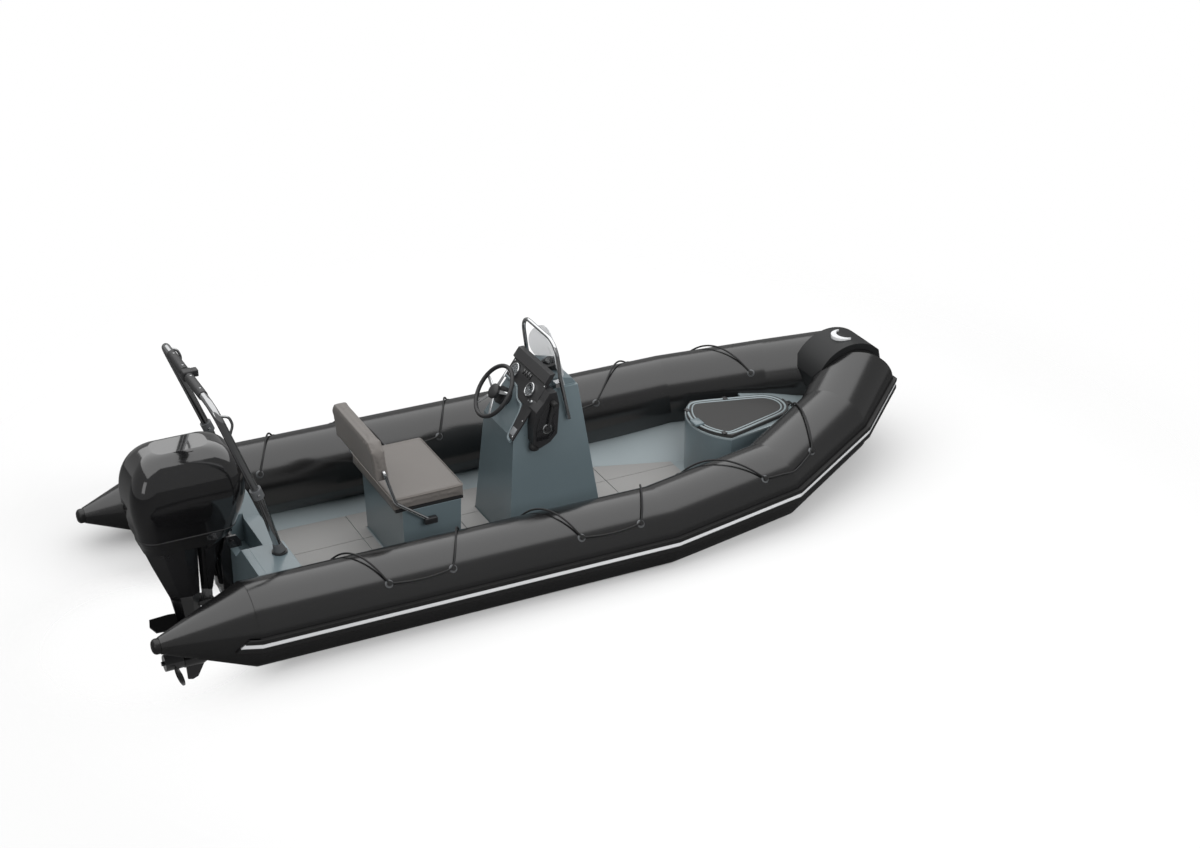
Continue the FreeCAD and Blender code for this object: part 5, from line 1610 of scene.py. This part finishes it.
@dataclass
class SeatTrim:
    """Piping of the seat cushion, and the bolts and stops of the backrest's arms."""

    piping_drop: float = 0.012
    piping_inset: float = 0.001
    piping_corner_inset: float = 0.004
    piping_corner: float = 0.03
    piping_radius: float = 0.0028
    pivot: Pair = (-0.779, 0.310)
    bolt_gap: float = 0.0005
    bolt_profile: tuple[Pair, ...] = (
        (0.0, 0.006), (0.007, 0.006), (0.0085, 0.004), (0.0085, 0.0), (0.0, 0.0),
    )
    stop_low: Point = (-0.822, -0.03, 0.292)
    stop_high: Point = (-0.738, 0.008, 0.334)

    def build(self) -> None:
        """Adds the piping round the cushion, the bolts and the stops."""
        self.build_piping()
        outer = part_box("backrest_arms")[1].y
        bolts = Mesh("arm_bolts", Finishes.STEEL, Body.HULL)
        x, z = self.pivot
        for side in (Side.STARBOARD, Side.PORT):
            spot = (x, side.value * (outer + self.bolt_gap), z)
            bolts.lathe(self.bolt_profile, spot, (0, side.value, 0), steps=20)
        bolts.finish_piece()
        stops = Mesh("arm_stops", Finishes.BLACK, Body.BACKREST)
        low, high = ((x, outer + y, z) for x, y, z in (self.stop_low, self.stop_high))
        stops.block(low, high, bevel=0.008)
        stops.mirror_y()
        stops.finish_piece()

    def build_piping(self) -> None:
        """Lays the piping round the cushion's upper edge."""
        low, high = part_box("seat_cushion")
        z = high.z - self.piping_drop
        inset, tip, far = self.piping_inset, self.piping_corner_inset, self.piping_corner
        loop = []
        for x, y, sx, sy in ((low.x, low.y, 1, 1), (high.x, low.y, -1, 1),
                             (high.x, high.y, -1, -1), (low.x, high.y, 1, -1)):
            corner = [Vector((x + sx * (inset + far), y + sy * inset, z)),
                      Vector((x + sx * tip, y + sy * tip, z)),
                      Vector((x + sx * inset, y + sy * (inset + far), z))]
            loop += corner[::-1] if sx * sy > 0 else corner
        cord_curve("seat_piping", loop, self.piping_radius, Finishes.PIPING, Body.SEAT_LID,
                   closed=True)


# ---------------------------------------------------------------- bow


@dataclass
class BowLocker:
    """Trim of the bow locker: rim beads, hinge tabs and latch."""

    aft_centre: float = 1.614
    aft_radius: float = 0.379
    aft_corner: Pair = (1.37, 0.29)
    side_corner: Pair = (1.83, 0.165)
    side_shares: tuple[float, ...] = (0.12, 0.5, 0.9)
    nose_centre: float = 1.769
    nose_radius: float = 0.176
    arc_points: int = 9
    arc_margin: float = 0.06
    beads: tuple[Pair, ...] = ((0.019, 0.0085), (0.046, 0.006))
    bead_sink: float = 0.35
    tabs: tuple[Pair, ...] = ((1.345, -0.236), (1.287, 0.16), (1.6, 0.206))
    tab_half: Pair = (0.014, 0.02)
    tab_levels: Pair = (-0.001, 0.009)
    latch_low: Point = (-0.018, -0.07, -0.006)
    latch_high: Point = (0.05, 0.02, 0.016)

    def build(self) -> None:
        """Adds the light beads round the lid, its dark hinge tabs and the latch lug."""
        low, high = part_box("locker_lid")
        for number, (inset, radius) in enumerate(self.beads, 1):
            z = high.z - radius * self.bead_sink
            points = [Vector((p.x, p.y, z)) for p in self.outline(inset)]
            cord_curve(f"lid_rim_{number}", points, radius, Finishes.RIM, Body.LOCKER_LID,
                       closed=True)
        tabs = Mesh("lid_tabs", Finishes.BLACK, Body.LOCKER_LID)
        along, across = self.tab_half
        bottom, top = (high.z + level for level in self.tab_levels)
        for x, y in self.tabs:
            tabs.block((x - along, y - across, bottom), (x + along, y + across, top),
                       bevel=0.002)
        tabs.finish_piece()
        lug = Mesh("lid_latch", Finishes.GELCOAT, Body.LOCKER_LID)
        near, far = ((low.x + x, y, high.z + z) for x, y, z in (self.latch_low, self.latch_high))
        lug.block(near, far, bevel=0.009)
        lug.finish_piece()

    def arc(self, centre: float, radius: float, start: Vector, inset: float) -> list[Vector]:
        """Points along one end of the lid, from one side across the middle to the other.

        Args:
            centre: the arc's centre along the boat.
            radius: its radius at the lid's edge.
            start: corner where it begins.
            inset: distance inside the lid's edge.

        Returns:
            The points.
        """
        angle = math.atan2(start.y, start.x - centre)
        sweep = 2.0 * ((math.pi - angle) if start.x < centre else -angle)
        used = 1.0 - 2.0 * self.arc_margin
        points = []
        for step in range(self.arc_points):
            turn = angle + sweep * (self.arc_margin + used * step / (self.arc_points - 1))
            points.append(Vector((centre + (radius - inset) * math.cos(turn),
                                  (radius - inset) * math.sin(turn), 0.0)))
        return points

    def outline(self, inset: float) -> list[Vector]:
        """Closed line inside the lid's edge.

        Args:
            inset: distance inside the edge.

        Returns:
            The points.
        """
        low, high = Vector((*self.aft_corner, 0.0)), Vector((*self.side_corner, 0.0))
        way = (high - low).normalized()
        inward = Vector((way.y, -way.x, 0.0)) * inset
        side = [low.lerp(high, share) + inward for share in self.side_shares]
        nose = self.arc(self.nose_centre, self.nose_radius, high, inset)
        other = [Vector((p.x, -p.y, 0.0)) for p in reversed(side)]
        aft = self.arc(self.aft_centre, self.aft_radius, low, inset)
        return side + nose + other + aft[::-1]


# ---------------------------------------------------------------- roll bar and engine


@dataclass
class RollBarTrim:
    """Foot cups, clamp screws, sleeves and light clamp of the roll bar."""

    foot: Point = (-1.764, 0.452, 0.397)
    bend: Point = (-1.859, 0.470, 0.765)
    corner: Point = (-2.093, 0.505, 1.412)
    radius: float = 0.0244
    cup_rise: float = 0.004
    cup_profile: tuple[Pair, ...] = ((0.038, 0.0), (0.036, 0.012), (0.031, 0.03), (0.028, 0.05))
    screw_up: float = 0.055
    screw_span: Pair = (0.034, 0.044)
    screw_radius: float = 0.009
    sleeve: Pair = (0.045, 0.31)
    sleeve_walls: Pair = (0.003, 0.0045)
    sleeve_chamfer: float = 0.002
    button_places: Pair = (0.08, 0.26)
    button_height: float = 0.003
    button_radius: float = 0.006
    clamp_half: Point = (0.031, 0.032, 0.031)
    bracket_low: Point = (0.028, -0.026, -0.012)
    bracket_high: Point = (0.062, 0.026, 0.028)

    def build(self) -> None:
        """Adds the cups, the screws, the sleeves with their buttons, and the clamp."""
        self.build_legs()
        self.build_sleeves()
        middle = Vector((self.corner[0], 0.0, self.corner[2]))
        half = Vector(self.clamp_half)
        clamp = Mesh("arch_clamp_box", Finishes.BLACK, Body.HULL)
        clamp.block(middle - half, middle + half, bevel=0.01)
        clamp.block(middle + Vector(self.bracket_low), middle + Vector(self.bracket_high),
                    bevel=0.004)
        clamp.finish_piece()

    def build_legs(self) -> None:
        """Cast cups round the feet, and screws through the clamps on the legs."""
        foot, bend, corner = Vector(self.foot), Vector(self.bend), Vector(self.corner)
        run = (bend - foot).normalized()
        bore = self.radius
        profile = [(bore, 0.0), *self.cup_profile, (bore, self.cup_profile[-1][1]), (bore, 0.0)]
        cups = Mesh("roll_bar_cups", Finishes.CLAMP, Body.HULL)
        cups.lathe(profile, foot + run * self.cup_rise, run, steps=40)
        cups.mirror_y()
        cups.finish_piece()
        screws = Mesh("clamp_screws", Finishes.STEEL, Body.HULL)
        centre = bend + (corner - bend).normalized() * self.screw_up
        for sign in (-1, 1):
            near, far = (centre + Vector((0.0, sign * out, 0.0)) for out in self.screw_span)
            screws.rod(near, far, self.screw_radius, segments=6, bevel=0.0015)
        screws.mirror_y()
        screws.finish_piece()

    def build_sleeves(self) -> None:
        """Rubber sleeves on the cross bar, with their buttons."""
        x, _, z = self.corner
        near, far = self.sleeve
        length = far - near
        bar, chamfer = self.radius, self.sleeve_chamfer
        lip, full = (bar + wall for wall in self.sleeve_walls)
        sleeves = Mesh("arch_sleeves", Finishes.SLEEVE, Body.HULL)
        sleeves.lathe([(bar, 0.0), (lip, 0.0), (full, chamfer), (full, length - chamfer),
                       (lip, length), (bar, length), (bar, 0.0)],
                      (x, near, z), TO_PORT, steps=40)
        sleeves.mirror_y()
        sleeves.finish_piece()
        buttons = Mesh("sleeve_buttons", Finishes.STEEL, Body.HULL)
        for y in self.button_places:
            top = Vector((x, y, z + lip))
            buttons.rod(top, top + Vector(UP) * self.button_height, self.button_radius,
                        segments=20, bevel=0.0008)
        buttons.mirror_y()
        buttons.finish_piece()


@dataclass
class CowlBand:
    """Rubber seal between the engine's upper cowl and its lower pan."""

    level: float = 0.4699
    rear: float = -2.5
    front: float = -1.915
    half: float = 0.196
    corner: float = 0.1
    radius: float = 0.0045
    corner_steps: int = 4

    def build(self) -> None:
        """Lays the seal round the split."""
        ahead, behind = self.front - self.corner, self.rear + self.corner
        side = self.half - self.corner
        points = []
        for quarter, (x, y) in enumerate(((ahead, side), (behind, side), (behind, -side),
                                          (ahead, -side))):
            for step in range(self.corner_steps + 1):
                turn = math.radians(90.0 * (quarter + step / self.corner_steps))
                points.append(Vector((x + self.corner * math.cos(turn),
                                      y + self.corner * math.sin(turn), self.level)))
        cord_curve("cowl_seal", points, self.radius, Finishes.SLEEVE, Body.ENGINE, closed=True)


ASSEMBLIES: tuple = (
    TubeSkins(),
    StrakeTails(),
    Lifelines(),
    Dash(),
    Compass(),
    ThrottleTrim(),
    SteeringWheel(),
    Cushion("seat_cushion", Body.SEAT_LID),
    Cushion("backrest", Body.BACKREST, cap=0.005),
    SeatTrim(),
    BowLocker(),
    RollBarTrim(),
    CowlBand(),
)


def dress_frame(nodes: dict) -> None:
    """Gives every CAD node its finish.

    Args:
        nodes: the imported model's objects by node name.
    """
    for name, node in nodes.items():
        CAD_FINISHES[name].dress(node)


def main() -> None:
    """Builds the whole scene in order."""
    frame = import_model()
    Studio().build()
    dress_frame(frame["nodes"])
    for group in ASSEMBLIES:
        group.build()


if __name__ == "__main__":
    main()
